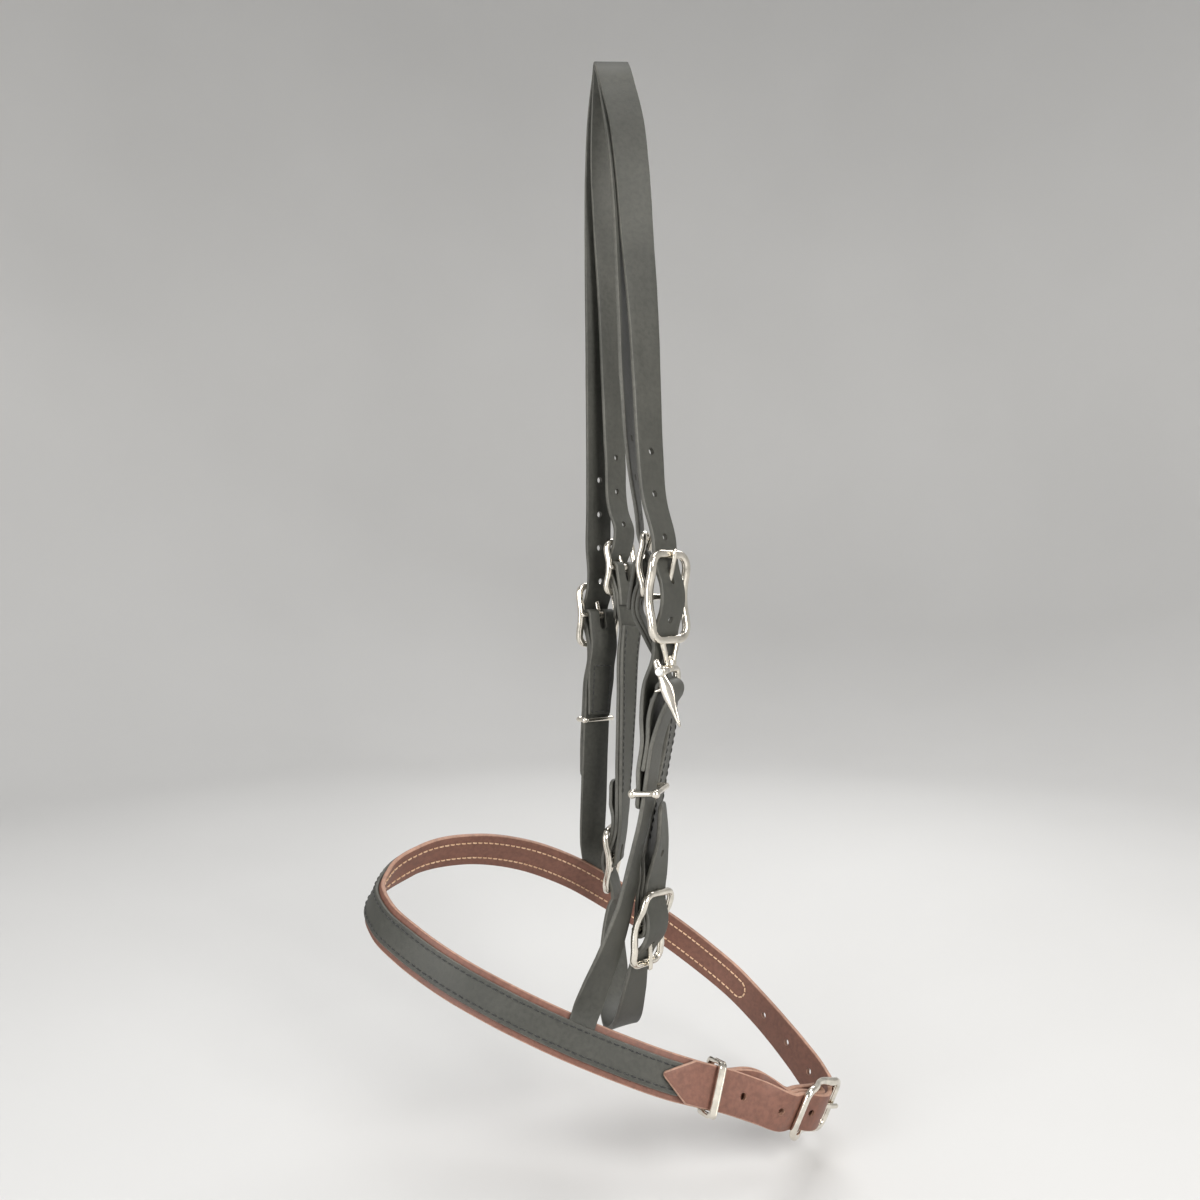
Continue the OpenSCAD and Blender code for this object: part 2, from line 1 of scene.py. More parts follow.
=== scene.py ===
import bpy, bmesh, math
import numpy as np
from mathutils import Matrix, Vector


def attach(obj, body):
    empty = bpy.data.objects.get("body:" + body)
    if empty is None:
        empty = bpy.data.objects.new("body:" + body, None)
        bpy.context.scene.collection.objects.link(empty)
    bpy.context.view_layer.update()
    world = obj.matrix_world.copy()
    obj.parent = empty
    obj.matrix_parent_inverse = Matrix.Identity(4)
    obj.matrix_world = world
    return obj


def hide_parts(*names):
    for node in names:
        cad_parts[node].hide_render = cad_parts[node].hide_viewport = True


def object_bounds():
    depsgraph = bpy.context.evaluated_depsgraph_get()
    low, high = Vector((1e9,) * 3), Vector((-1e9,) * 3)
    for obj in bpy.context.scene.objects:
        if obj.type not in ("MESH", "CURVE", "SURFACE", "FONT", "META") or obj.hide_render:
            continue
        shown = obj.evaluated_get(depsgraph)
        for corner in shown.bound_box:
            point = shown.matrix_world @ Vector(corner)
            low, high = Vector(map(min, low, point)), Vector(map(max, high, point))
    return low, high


# Looks of the bitless hackamore headstall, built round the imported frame.
# Lengths are millimetres in the drawing datum until to_row() turns them into metres.
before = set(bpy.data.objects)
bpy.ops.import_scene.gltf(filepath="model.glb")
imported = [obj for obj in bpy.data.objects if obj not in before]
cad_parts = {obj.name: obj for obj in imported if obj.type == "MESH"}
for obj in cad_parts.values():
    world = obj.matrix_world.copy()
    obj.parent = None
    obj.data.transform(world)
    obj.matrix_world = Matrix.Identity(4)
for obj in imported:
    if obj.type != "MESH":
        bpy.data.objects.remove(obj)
cad_lo, cad_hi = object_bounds()

DATUM = np.array([-6.0, 0.0, -302.5])


def to_row(p):
    return (np.asarray(p, float) + DATUM) / 1000.0


def sind(a): return math.sin(math.radians(a))
def cosd(a): return math.cos(math.radians(a))
def V(*a): return np.array(a, float)
def unit(v):
    v = np.asarray(v, float)
    return v / np.linalg.norm(v)
def yaw(a): return V(cosd(a), sind(a), 0)
def fnear(a): return V(sind(a), -cosd(a), 0)
def ffar(a): return V(-sind(a), cosd(a), 0)
def fr(o, n, y):
    y, n = unit(y), np.asarray(n, float)
    n = unit(n - (n @ y) * y)
    return V(*o), np.cross(y, n), y, n
def at(B, x, y, z): return B[0] + x * B[1] + y * B[2] + z * B[3]


# ---- sizes, as in the CAD ---------------------------------------------------
strap_t, strap_w, throat_w, nose_t, nose_w, overlay_w, billet_w, hole_d = 2.2, 19.5, 19, 2.6, 22, 15.5, 21, 3.8
snap_l, snap_b, buckle_l, buckle_b, adjuster_l, throat_b = 47, 33, 40.5, 31, 36, 29
wire_r, bar_r, rise, gap, lift, tongue_up = 1.8, 1.6, 2.4, 0.12, 1.9, 10
UP, DOWN = [0, 0, 1], [0, 0, -1]
SN = fr([33.5, -61.5, 1.5], fnear(50), UP)
FC = fr([-0.5, 60, -9.5], ffar(36), UP)
NA = fr([22, -44, 18], fnear(80), UP)
FA = fr([14, 50, 20], ffar(50), UP)
NT = fr([25, -55, -168], fnear(55), [-0.2, 0, -0.98])
FT = fr([9, 45, -159], ffar(75), DOWN)
CH = fr([114, -30, -273], [0.7, -0.64, -0.3], [0.6, 0.77, -0.22])
SH = fr([35.3, -63, -44], fnear(70), UP)
NK = fr([25.4, -66.3, -95.5], fnear(70), [-0.07, 0, 1])
FK = fr([-3, 61, -75], ffar(37), UP)
CK = fr([57, -60.2, -248.6], [0.34, -0.92, 0.2], [0.9, 0.26, -0.34])


def hl(l): return l / 2 - wire_r


ze = rise - wire_r - gap - strap_t / 2
zf = bar_r + gap + strap_t / 2
zs = 3.0 + gap + strap_t / 2 + 0.3
zb = zf + strap_t + gap


def through(B, h, zc, ze, w, wd):
    m = lambda k: ze + (zc - ze) * k
    return [(at(B, 0, y, z), wd, w) for y, z in ((h + 7, ze - 0.6), (h, ze), (h * 0.62, m(0.34)), (h * 0.3, m(0.84)), (0, zc),
            (-h * 0.3, m(0.84)), (-h * 0.62, m(0.34)), (-h, ze), (-h - 7, ze - 0.6))]


def fold(B, h, z1, z2, zf, w, wd):
    return [(at(B, 0, y, z), wd, w) for y, z in ((-h - 7, z1 - 0.5), (-h, z1), (-h * 0.5, (z1 - zf) / 2), (-1.5, -zf), (1.2, -zf * 0.9),
            (zf * 0.85, -zf * 0.5), (zf, 0), (zf * 0.85, zf * 0.5), (1.2, zf * 0.9), (-1.5, zf), (-h * 0.5, (z2 + zf) / 2), (-h, z2), (-h - 7, z2 - 0.5))]


def K3(x, y, z, a, w): return (V(x, y, z), yaw(a), w)
def nw(o, f): return -unit(cosd(f) * V(0.36, 0, 0.93) - sind(f) * yaw(o))
def N3(x, y, z, o, f, w): return (V(x, y, z), nw(o, f), w)
def KV(p, w, wd): return (V(*p), V(*w), wd)


sw, tw = strap_w, throat_w
CROWN = [K3(-4.6, 64.5, -114, 37, 8), K3(-4.5, 64.4, -108, 37, sw), K3(-4.4, 63.2, -92, 37, sw), K3(-3.4, 62, -70, 37, sw), K3(-2.2, 61.4, -50, 36, sw)] \
    + through(FC, hl(buckle_l), zb, ze, sw, yaw(36))[::-1] \
    + [K3(-0.9, 58.5, 30, 39, sw), K3(-0.9, 57, 60, 41, sw), K3(-0.9, 54.5, 95, 41, sw), K3(-0.9, 45.5, 160, 38, sw),
       K3(-0.6, 35.5, 215, 30, sw), K3(0.5, 25.5, 257, 20, sw), K3(2.5, 15.5, 285, 10, sw), K3(5, 7, 301, 3, sw),
       K3(6, 0, 305.9, 0, sw), K3(7, -7, 301, 2, sw), K3(10.5, -15, 284, 4, sw), K3(14.3, -21, 265, 7, sw),
       K3(17, -26, 240, 12, sw), K3(20, -34, 194, 23, sw), K3(22.8, -43, 150, 34, sw), K3(24.3, -50, 112, 41, sw),
       K3(25.6, -54.5, 78, 45, sw), K3(27.6, -58, 52, 48, sw)] \
    + through(SN, hl(snap_l), zs, ze, sw, yaw(50)) \
    + [K3(26.4, -58.9, -44, 60, sw), K3(24.4, -60.4, -58, 66, sw), K3(24, -63.2, -72, 70, sw), K3(22, -64.4, -86, 70, sw),
       K3(22, -65, -96, 70, sw), K3(21.5, -65.2, -101, 70, sw), K3(21.2, -65.3, -105, 70, 10)]
INNER = [K3(21, 56.2, -22, 50, 8), K3(20.6, 56, -17, 50, tw), K3(16.5, 53.5, -6, 50, tw)] \
    + through(FA, hl(adjuster_l), zb, ze, tw, yaw(50))[::-1] \
    + [K3(11.5, 50.6, 55, 50, tw), K3(9.4, 50, 88, 50, tw), K3(8, 47, 130, 45, tw), K3(6.5, 39.5, 180, 38, tw),
       K3(4.5, 30, 224, 28, tw), K3(3.6, 20, 259, 16, tw), K3(4.5, 11, 285, 8, tw), K3(5.5, 4.8, 300, 2, tw),
       K3(6, 0, 303.6, 0, tw), K3(6.8, -4.8, 300, 2, tw), K3(9, -11, 284, 10, tw), K3(12, -18.5, 255, 25, tw),
       K3(13.4, -27, 213, 45, tw), K3(13.8, -36, 159, 60, tw), K3(14.8, -42, 104, 70, tw), K3(17, -43.6, 70, 76, tw), K3(20, -44, 48, 80, tw)] \
    + through(NA, hl(adjuster_l), zb, ze, tw, yaw(80)) \
    + [K3(24.5, -43.6, -14, 78, tw), K3(28.5, -43.3, -22, 77, tw), K3(30.5, -43.2, -26, 77, 9)]
y70 = yaw(70)
NEARCHEEK = [K3(24.1, -65, -86, 70, sw), K3(26.6, -64.4, -71, 70, sw), K3(27.3, -62.6, -59, 70, sw), K3(29.3, -61.4, -51, 70, sw)] \
    + [(at(SH, 0, y, z), y70, sw) for y, z in ((-1.5, -4.1), (0.9, -3.7), (2.5, -2.2), (3.15, 0), (2.5, 2.2), (0.9, 3.7), (-1.5, 4.1))] \
    + [K3(36, -64.3, -52, 70, sw), K3(32.5, -64.8, -60, 70, sw), K3(28.9, -65.3, -71, 70, sw), K3(26.4, -65.8, -86, 70, sw),
       K3(25, -66, -96, 70, sw), K3(22.4, -66.4, -110, 71, sw), K3(18.5, -67, -126, 72, sw), K3(12.6, -68, -153, 64, sw),
       K3(4, -68.4, -179, 45, 18), K3(-2.8, -67.6, -196, 26, 16), KV([-7.6, -66, -209.4], [0.93, 0.05, -0.34], 14), KV([-9.8, -67.8, -215.3], [0.93, 0, -0.36], 14)]
FC_FOLD = fold(FC, hl(buckle_l), ze - 2 * strap_t - 2 * gap, ze - strap_t - gap, zf, sw, yaw(36))
LAPK = strap_t + gap
FARCHEEK = [(V(-2, 59.7, -70) + LAPK * fnear(37) - V(0, 0, 2), yaw(37), sw - 3), (V(-1.4, 59.4, -60) + LAPK * fnear(37), yaw(37), sw - 1.5), (V(-0.8, 59.1, -50) + LAPK * fnear(36), yaw(36), sw)] \
    + [(V(-0.6, 58.8, -42) + (LAPK + 0.25) * fnear(36), yaw(36), sw)] + FC_FOLD[1:] \
    + [K3(-0.8, 59.1, -50, 36, sw), K3(-2, 59.7, -70, 37, sw), K3(-3, 60.6, -92, 37, sw), K3(-4, 61.2, -127, 36, sw), K3(-4.8, 63, -152, 26, 17),
       KV([-4.4, 66.3, -166.4], [0.9, 0.06, -0.42], 14), KV([-5.1, 69.1, -174.7], [0.87, 0.1, -0.48], 14)]
NEARHANG_MID = [K3(25.4, -43.8, -20, 78, tw), K3(33, -40.2, -34, 76, tw), K3(38, -39.2, -50, 75, tw), K3(38.2, -39.4, -62, 75, tw),
    K3(34.6, -40.6, -84, 75, tw), K3(31.6, -42.6, -99, 74, tw), K3(28.8, -45, -115, 70, tw), K3(27, -48, -132, 65, tw)]
FARHANG_MID = [K3(18.2, 50.4, -16, 52, tw), K3(16.6, 50, -31, 55, tw), K3(15.5, 49, -61, 60, tw), K3(14, 47.4, -98, 66, tw), K3(12.8, 46.2, -124, 72, tw)]
THROAT = [K3(31.8, -57.2, -104, 80, 9), K3(32, -57.2, -110, 78, tw), K3(32, -56.8, -122, 72, tw), K3(30.4, -55.6, -134, 62, tw)] \
    + through(NT, hl(buckle_l), zb, ze, tw, yaw(55))[::-1] \
    + [K3(17.2, -50, -205, 48, tw), K3(14, -37, -224, 40, tw), K3(11, -20, -233, 32, tw), K3(8.6, 2, -229, 30, tw), K3(8, 20, -214, 40, tw), K3(8.5, 36, -195, 62, tw)] \
    + through(FT, hl(buckle_l), zb, ze, tw, yaw(75)) \
    + [K3(9.4, 47.8, -126, 72, tw), K3(9.6, 49.4, -116, 70, tw), K3(9.7, 49.8, -111, 70, 9)]
cw = CH[1]
tn, ce, cf = nose_t + gap, rise + 0.6 - wire_r - gap - nose_t / 2, bar_r + gap + nose_t / 2
CHF = hl(buckle_l)
BASE = [N3(47.4, -59.8, -246.7, 280, 18, billet_w), N3(61.3, -56, -251.8, 284, 18, billet_w), N3(79, -45.5, -257, 288, 20, billet_w)] \
    + fold(CH, CHF, ce - 2 * tn, ce - tn, cf, billet_w, cw) \
    + [N3(82, -48.5, -257.5, 288, 20, billet_w), N3(62, -58.6, -250.6, 284, 18, billet_w), N3(50, -62, -246, 280, 18, 21.5), N3(38, -64.4, -241.6, 278, 18, nose_w),
       N3(10, -68, -230, 272, 18, nose_w), N3(-18, -67.6, -218.6, 268, 18, nose_w), N3(-51.5, -61, -205.5, 262, 18, nose_w),
       N3(-78.6, -50.5, -195, 250, 16, nose_w), N3(-103, -36, -184.5, 235, 13, nose_w), N3(-120, -19, -177, 212, 8, nose_w), N3(-128, -1, -170.5, 184, 5, nose_w),
       N3(-125, 13, -164, 160, 8, nose_w), N3(-110, 28, -156, 135, 13, nose_w), N3(-80, 46, -154, 112, 15, nose_w), N3(-51, 58, -160, 104, 15, nose_w),
       N3(-20, 66.5, -173, 96, 15, nose_w), N3(10, 71, -191, 90, 15, nose_w), N3(40, 72, -210, 84, 15, nose_w), N3(67, 68, -229, 72, 15, nose_w),
       N3(84, 59.5, -241, 60, 15, nose_w), N3(97, 46, -251, 48, 14, 21.5), N3(108, 30, -260, 30, 10, billet_w), N3(117, 14, -268, 14, 6, billet_w),
       N3(123, 0, -274, 4, 0, billet_w)] \
    + through(CH, CHF, cf + tn, ce, billet_w, cw)[1:] \
    + [N3(82, -54.8, -258.8, 288, 20, billet_w), N3(62.7, -61.3, -249.4, 284, 18, billet_w), N3(50.8, -65.2, -244.6, 280, 18, billet_w),
       N3(45.4, -67.3, -242.2, 279, 18, billet_w), N3(38.6, -69.2, -239.2, 278, 18, 11.5), N3(31.9, -70.3, -236.6, 277, 18, 2)]
HZ = (ze - 2 * strap_t - 2 * gap, ze - strap_t - gap, zf)
NHANG = [(NEARHANG_MID[1][0] - 2.4 * fnear(76), yaw(76), tw)] + [(NEARHANG_MID[i][0] - 2.4 * fnear(72), NEARHANG_MID[i][1], tw) for i in range(2, 8)] \
    + fold(NT, hl(buckle_l), *HZ, tw, yaw(55)) + NEARHANG_MID[::-1] + fold(NA, hl(adjuster_l), *HZ, tw, yaw(80))[::-1]
FHANG = [(FARHANG_MID[i][0] - 2.35 * ffar(52 + 5 * i), FARHANG_MID[i][1], tw) for i in range(5)] \
    + fold(FT, hl(buckle_l), *HZ, tw, yaw(75)) + FARHANG_MID[::-1] + fold(FA, hl(adjuster_l), *HZ, tw, yaw(50))[::-1]


# ---- strap geometry ----------------------------------------------------------
def hp(K, i, u):
    n = len(K)
    p1, p2 = K[i][0], K[i + 1][0]
    p0 = K[i - 1][0] if i > 0 else p1
    p3 = K[i + 2][0] if i + 2 < n else p2
    d1, d0, d2 = np.linalg.norm(p2 - p1), max(np.linalg.norm(p1 - p0), 0.01), max(np.linalg.norm(p3 - p2), 0.01)
    m1 = p2 - p1 if i == 0 else d1 * ((p1 - p0) / d0 - (p2 - p0) / (d0 + d1) + (p2 - p1) / d1)
    m2 = p2 - p1 if i + 2 >= n else d1 * ((p2 - p1) / d1 - (p3 - p1) / (d1 + d2) + (p3 - p2) / d2)
    return (2 * u**3 - 3 * u * u + 1) * p1 + (u**3 - 2 * u * u + u) * m1 + (3 * u * u - 2 * u**3) * p2 + (u**3 - u * u) * m2


class Strap:
    """Rings along a strap: P centre, W across, T along, N outward, w width, s arc length, t key number."""

    def __init__(self, K, step, least=1, tips=False):
        P, W, w, t = [], [], [], []
        for i in range(len(K) - 1):
            m = max(least, int(math.floor(np.linalg.norm(K[i + 1][0] - K[i][0]) / step + 0.5)))
            for j in range(m):
                u = j / m
                P.append(hp(K, i, u)); W.append((1 - u) * K[i][1] + u * K[i + 1][1]); t.append(i + u)
                a, b, k = K[i][2], K[i + 1][2], u
                if tips and i == 0 and b - a > 5:
                    k = math.sqrt(1 - (1 - u) ** 2)
                if tips and i == len(K) - 2 and a - b > 5:
                    k = 1 - math.sqrt(1 - u * u)
                w.append((1 - k) * a + k * b)
        P.append(K[-1][0]); W.append(K[-1][1]); w.append(K[-1][2]); t.append(len(K) - 1)
        self.P, W, self.w, self.t = np.array(P), np.array(W), np.array(w, float), np.array(t, float)
        n = len(P)
        a, b = np.minimum(np.arange(n) + 1, n - 1), np.maximum(np.arange(n) - 1, 0)
        T = self.P[a] - self.P[b]
        self.T = T / np.linalg.norm(T, axis=1)[:, None]
        W = W - np.sum(W * self.T, 1)[:, None] * self.T
        self.W = W / np.linalg.norm(W, axis=1)[:, None]
        self.N = np.cross(self.T, self.W)
        self.s = np.concatenate([[0], np.cumsum(np.linalg.norm(np.diff(self.P, axis=0), axis=1))])

    def at_s(self, s):
        f = lambda A: np.array([np.interp(s, self.s, A[:, k]) for k in range(3)])
        return f(self.P), unit(f(self.W)), unit(f(self.T)), unit(f(self.N))

    def t_of_s(self, s): return float(np.interp(s, self.s, self.t))
    def s_of_t(self, t): return float(np.interp(t, self.t, self.s))


def pair(K, step):
    return Strap(K, step), Strap(K, 2.0, 3, tips=K is not BASE)


def new_mesh(name, verts, faces, mats, index=None, smooth=True):
    me = bpy.data.meshes.new(name)
    me.from_pydata([tuple(v) for v in verts], [], [tuple(int(i) for i in f) for f in faces])
    for m in mats:
        me.materials.append(m)
    if index is not None:
        me.polygons.foreach_set("material_index", np.array(index, np.int32))
    bm = bmesh.new(); bm.from_mesh(me)
    bmesh.ops.recalc_face_normals(bm, faces=bm.faces)
    if bm.calc_volume(signed=True) < 0:
        bmesh.ops.reverse_faces(bm, faces=bm.faces)
    bm.to_mesh(me); bm.free()
    if smooth:
        me.polygons.foreach_set("use_smooth", [True] * len(me.polygons))
    ob = bpy.data.objects.new(name, me)
    bpy.context.scene.collection.objects.link(ob)
    return ob


ARC, RC = 4, 0.75


def section(w, t, r, crown=0.0):
    """Closed rounded section in (across, outward): corner arcs and three points on each face."""
    hw, ht = max(w / 2 - r, 0.05), max(t / 2 - r, 0.02)
    pts = []
    for q, (sx, sy) in enumerate(((1, -1), (1, 1), (-1, 1), (-1, -1))):
        a0 = -90 + 90 * q
        for k in range(ARC + 1):
            a = a0 + 90 * k / ARC
            pts.append((sx * hw + r * cosd(a), sy * ht + r * sind(a)))
        if q in (1, 3):
            s = 1 if q == 1 else -1
            for f in (0.6, 0, -0.6):
                pts.append((s * f * hw, s * (t / 2 + crown * (1 - f * f))))
    return pts


def section_edge():
    """True for each face of the section that belongs to the cut edge."""
    flags = []
    for q in range(4):
        for k in range(ARC + 1):
            mid = -90 + 90 * q + 90 * (k + 0.5) / ARC
            last = k == ARC
            if last:
                flags.append(q in (0, 2))
            else:
                side = abs(((mid + 180) % 360) - 180) < 58 or abs((mid % 360) - 180) < 58
                flags.append(side)
        if q in (1, 3):
            flags += [False] * 3
    return flags


def wobble(P, a, k):
    """Small uneven shift of a surface, the same each run."""
    x, y, z = P[:, 0] * k, P[:, 1] * k, P[:, 2] * k
    return a * (np.sin(1.3 * x + 2.1 * z + 0.7) * np.sin(1.7 * y - 1.1 * z + 1.9) + 0.5 * np.sin(3.1 * z + 2.3 * y + 0.4))


def ribbon(name, R, t, mats, off=0.0, wide=None, t0=None, t1=None, r=RC, round_end=0.0, round_start=0.0, lat=0.0, uneven=0.05):
    keep = np.ones(len(R.t), bool)
    if t0 is not None:
        keep &= (R.t >= t0) & (R.t <= t1)
    idx = np.nonzero(keep)[0]
    s_lo, s_hi = R.s[idx[0]], R.s[idx[-1]]
    stations = [s_lo, s_lo + 0.18, s_lo + 0.55]
    for L, lo in ((round_start, True), (round_end, False)):
        if L:
            for k in range(1, 9):
                d = L * (1 - cosd(90 * k / 9))
                stations.append(s_lo + d if lo else s_hi - d)
    stations += [s for s in R.s[idx] if s_lo + 0.8 < s < s_hi - 0.8] + [s_hi - 0.55, s_hi - 0.18, s_hi]
    stations = sorted(stations)
    stations = [s for i, s in enumerate(stations) if i == 0 or s - stations[i - 1] > 0.1]
    C = lambda A: np.stack([np.interp(stations, R.s, A[:, k]) for k in range(3)], 1)
    P, W, T = C(R.P), C(R.W), C(R.T)
    T /= np.linalg.norm(T, axis=1)[:, None]
    W -= np.sum(W * T, 1)[:, None] * T
    W /= np.linalg.norm(W, axis=1)[:, None]
    N = np.cross(T, W)
    w = np.interp(stations, R.s, R.w) if wide is None else np.full(len(stations), float(wide))
    P = P + N * wobble(P, uneven, 0.06)[:, None]
    w = w + wobble(P + 40, 0.07, 0.11)
    verts, n = [], 0
    for i, s in enumerate(stations):
        d0, d1 = s - s_lo, s_hi - s
        wi = w[i]
        if round_start and d0 < round_start:
            wi = wi - 2 * round_start * (1 - math.sqrt(max(0.0, 1 - (1 - d0 / round_start) ** 2))) * (wi / 2 - 1) / (wi / 2)
        if round_end and d1 < round_end:
            wi = wi - 2 * round_end * (1 - math.sqrt(max(0.0, 1 - (1 - d1 / round_end) ** 2))) * (wi / 2 - 1) / (wi / 2)
        d = min(d0, d1)
        inset = RC * (1 - math.sqrt(max(0.0, 1 - (1 - min(d, 0.6) / 0.6) ** 2)))
        sec = section(max(wi - 2 * inset, 1.0), max(t - 2 * inset, 0.4), max(min(r, (t - 2 * inset) / 2 - 0.02), 0.1), 0.0)
        n = len(sec)
        c = P[i] + off * N[i] + lat * W[i]
        verts += [c + a * W[i] + b * N[i] for a, b in sec]
    m = len(stations)
    faces, index, edge = [], [], section_edge()
    for i in range(m - 1):
        for k in range(n):
            a, b = i * n + k, i * n + (k + 1) % n
            faces.append((a, b, b + n, a + n)); index.append(1 if edge[k] else 0)
    faces += [tuple(range(n)), tuple(range((m - 1) * n, m * n))[::-1]]
    index += [1, 1]
    return new_mesh(name, to_row(np.array(verts)), faces, mats, index)


def cutter(parts):
    """One mesh of separate closed pieces, each [verts, faces] in mm."""
    verts, faces, k = [], [], 0
    for v, f in parts:
        verts += list(v); faces += [tuple(i + k for i in q) for q in f]; k += len(v)
    ob = new_mesh("cutter", to_row(np.array(verts)), faces, [EDGE_DUMMY, EDGE_DUMMY], [1] * len(faces), smooth=False)
    return ob


EDGE_DUMMY = bpy.data.materials.new("cut")


def prism(outline, z0, z1, B):
    n = len(outline)
    v = [at(B, x, y, z0) for x, y in outline] + [at(B, x, y, z1) for x, y in outline]
    f = [tuple(range(n))[::-1], tuple(range(n, 2 * n))] + [(i, (i + 1) % n, n + (i + 1) % n, n + i) for i in range(n)]
    return v, f


def hole(coarse, s, d):
    P, W, T, N = coarse.at_s(s)
    W = np.cross(T, N); W = unit(W)
    B = (P, W, T, N)
    return prism([(d / 2 * cosd(a), d / 2 * sind(a)) for a in range(0, 360, 15)], -4.5, 4.5, B)


def crew(B, top=6.0, low=-7.0):
    out = [(2.4, 6.5), (-2.4, 6.5)] + [(2.4 * cosd(a), -6.5 + 2.4 * sind(a)) for a in range(180, 361, 15)]
    return prism(out, low, top, B)


def shank(l, h): return V(0, hl(l) + 0.6, h + wire_r + 0.35 + 1.15)


def room(B, l, h, r=1.45):
    e = shank(l, h)
    ln = np.linalg.norm(e)
    bm = bmesh.new()
    for a in (-1.5, 4, 8, 12):
        d = V(0, e[1] * cosd(a) - e[2] * sind(a), e[1] * sind(a) + e[2] * cosd(a)) / ln
        up = V(0, -d[2], d[1])
        for k in (0.2, 1.1):
            for q in range(0, 360, 30):
                p = d * ln * k + r * (cosd(q) * V(1, 0, 0) + sind(q) * up)
                bm.verts.new(at(B, *p))
    res = bmesh.ops.convex_hull(bm, input=bm.verts)
    bmesh.ops.delete(bm, geom=[v for v in bm.verts if not v.link_faces], context="VERTS")
    bm.verts.index_update()
    v = [np.array(x.co) for x in bm.verts]
    f = [tuple(x.index for x in q.verts) for q in bm.faces]
    bm.free()
    return v, f


def carve(ob, groups, solver="EXACT"):
    cuts = []
    for g in groups:
        if not g:
            continue
        c = cutter(g); cuts.append(c)
        m = ob.modifiers.new("cut", "BOOLEAN")
        m.operation, m.object, m.solver = "DIFFERENCE", c, solver
        m.material_mode = "INDEX"
    dg = bpy.context.evaluated_depsgraph_get()
    me = bpy.data.meshes.new_from_object(ob.evaluated_get(dg), preserve_all_data_layers=True, depsgraph=dg)
    ob.modifiers.clear()
    old = ob.data
    ob.data = me
    me.name = ob.name
    bpy.data.meshes.remove(old)
    for c in cuts:
        bpy.data.objects.remove(c)
    me.polygons.foreach_set("use_smooth", [True] * len(me.polygons))
    me.set_sharp_from_angle(angle=math.radians(38))
    return ob


# ---- materials ---------------------------------------------------------------
def mat(name):
    m = bpy.data.materials.new(name)
    m.use_nodes = True
    nt = m.node_tree
    return m, nt, nt.nodes["Principled BSDF"], nt.links.new


def tex(nt, kind, coords, **values):
    n = nt.nodes.new("ShaderNodeTex" + kind)
    for k, v in values.items():
        if k in ("feature", "distance", "noise_dimensions", "bands_direction", "wave_type"):
            setattr(n, k, v)
        else:
            n.inputs[k].default_value = v
    nt.links.new(coords, n.inputs["Vector"])
    return n


def ramp(nt, fac, stops):
    n = nt.nodes.new("ShaderNodeValToRGB")
    e = n.color_ramp.elements
    while len(e) < len(stops):
        e.new(0.5)
    for k, (p, c) in enumerate(stops):
        e[k].position = p; e[k].color = (*c, 1) if len(c) == 3 else c
    nt.links.new(fac, n.inputs["Fac"])
    return n


def remap(nt, v, lo, hi, a=0.3, b=0.7):
    n = nt.nodes.new("ShaderNodeMapRange")
    n.inputs["From Min"].default_value, n.inputs["From Max"].default_value = a, b
    n.inputs["To Min"].default_value, n.inputs["To Max"].default_value = lo, hi
    nt.links.new(v, n.inputs["Value"])
    return n


def bump(nt, height, strength, distance, under=None):
    n = nt.nodes.new("ShaderNodeBump")
    n.inputs["Strength"].default_value, n.inputs["Distance"].default_value = strength, distance
    nt.links.new(height, n.inputs["Height"])
    if under is not None:
        nt.links.new(under, n.inputs["Normal"])
    return n.outputs["Normal"]


def leather(name, deep, mid, pale, rough, grain=1.0, spec=0.5, streak=0.0, coat=0.0):
    m, nt, p, link = mat(name)
    c = nt.nodes.new("ShaderNodeTexCoord").outputs["Object"]
    cloud = tex(nt, "Noise", c, Scale=22.0, Detail=4.0, Roughness=0.55)
    fine = tex(nt, "Noise", c, Scale=420.0, Detail=3.0, Roughness=0.6)
    pores = tex(nt, "Voronoi", c, feature="F1", Scale=1250.0, Randomness=1.0)
    creases = tex(nt, "Voronoi", c, feature="DISTANCE_TO_EDGE", Scale=620.0, Randomness=1.0)
    col = ramp(nt, cloud.outputs["Fac"], [(0.30, deep), (0.52, mid), (0.74, pale)])
    spots = ramp(nt, fine.outputs["Fac"], [(0.32, (0.72, 0.72, 0.72)), (0.62, (1.12, 1.12, 1.12))])
    mul = nt.nodes.new("ShaderNodeMix"); mul.data_type = "RGBA"; mul.blend_type = "MULTIPLY"
    mul.inputs[0].default_value = 0.75
    link(col.outputs["Color"], mul.inputs[6]); link(spots.outputs["Color"], mul.inputs[7])
    link(mul.outputs[2], p.inputs["Base Color"])
    r = remap(nt, fine.outputs["Fac"], rough - 0.07, rough + 0.09)
    link(r.outputs["Result"], p.inputs["Roughness"])
    n1 = bump(nt, cloud.outputs["Fac"], 0.18 * grain, 0.0006)
    n2 = bump(nt, creases.outputs["Distance"], 0.22 * grain, 0.00022, n1)
    n3 = bump(nt, pores.outputs["Distance"], 0.20 * grain, 0.00012, n2)
    n4 = bump(nt, fine.outputs["Fac"], 0.22 * grain, 0.00018, n3)
    link(n4, p.inputs["Normal"])
    p.inputs["Specular IOR Level"].default_value = spec
    if coat:
        p.inputs["Coat Weight"].default_value = coat
        p.inputs["Coat Roughness"].default_value = 0.35
    return m


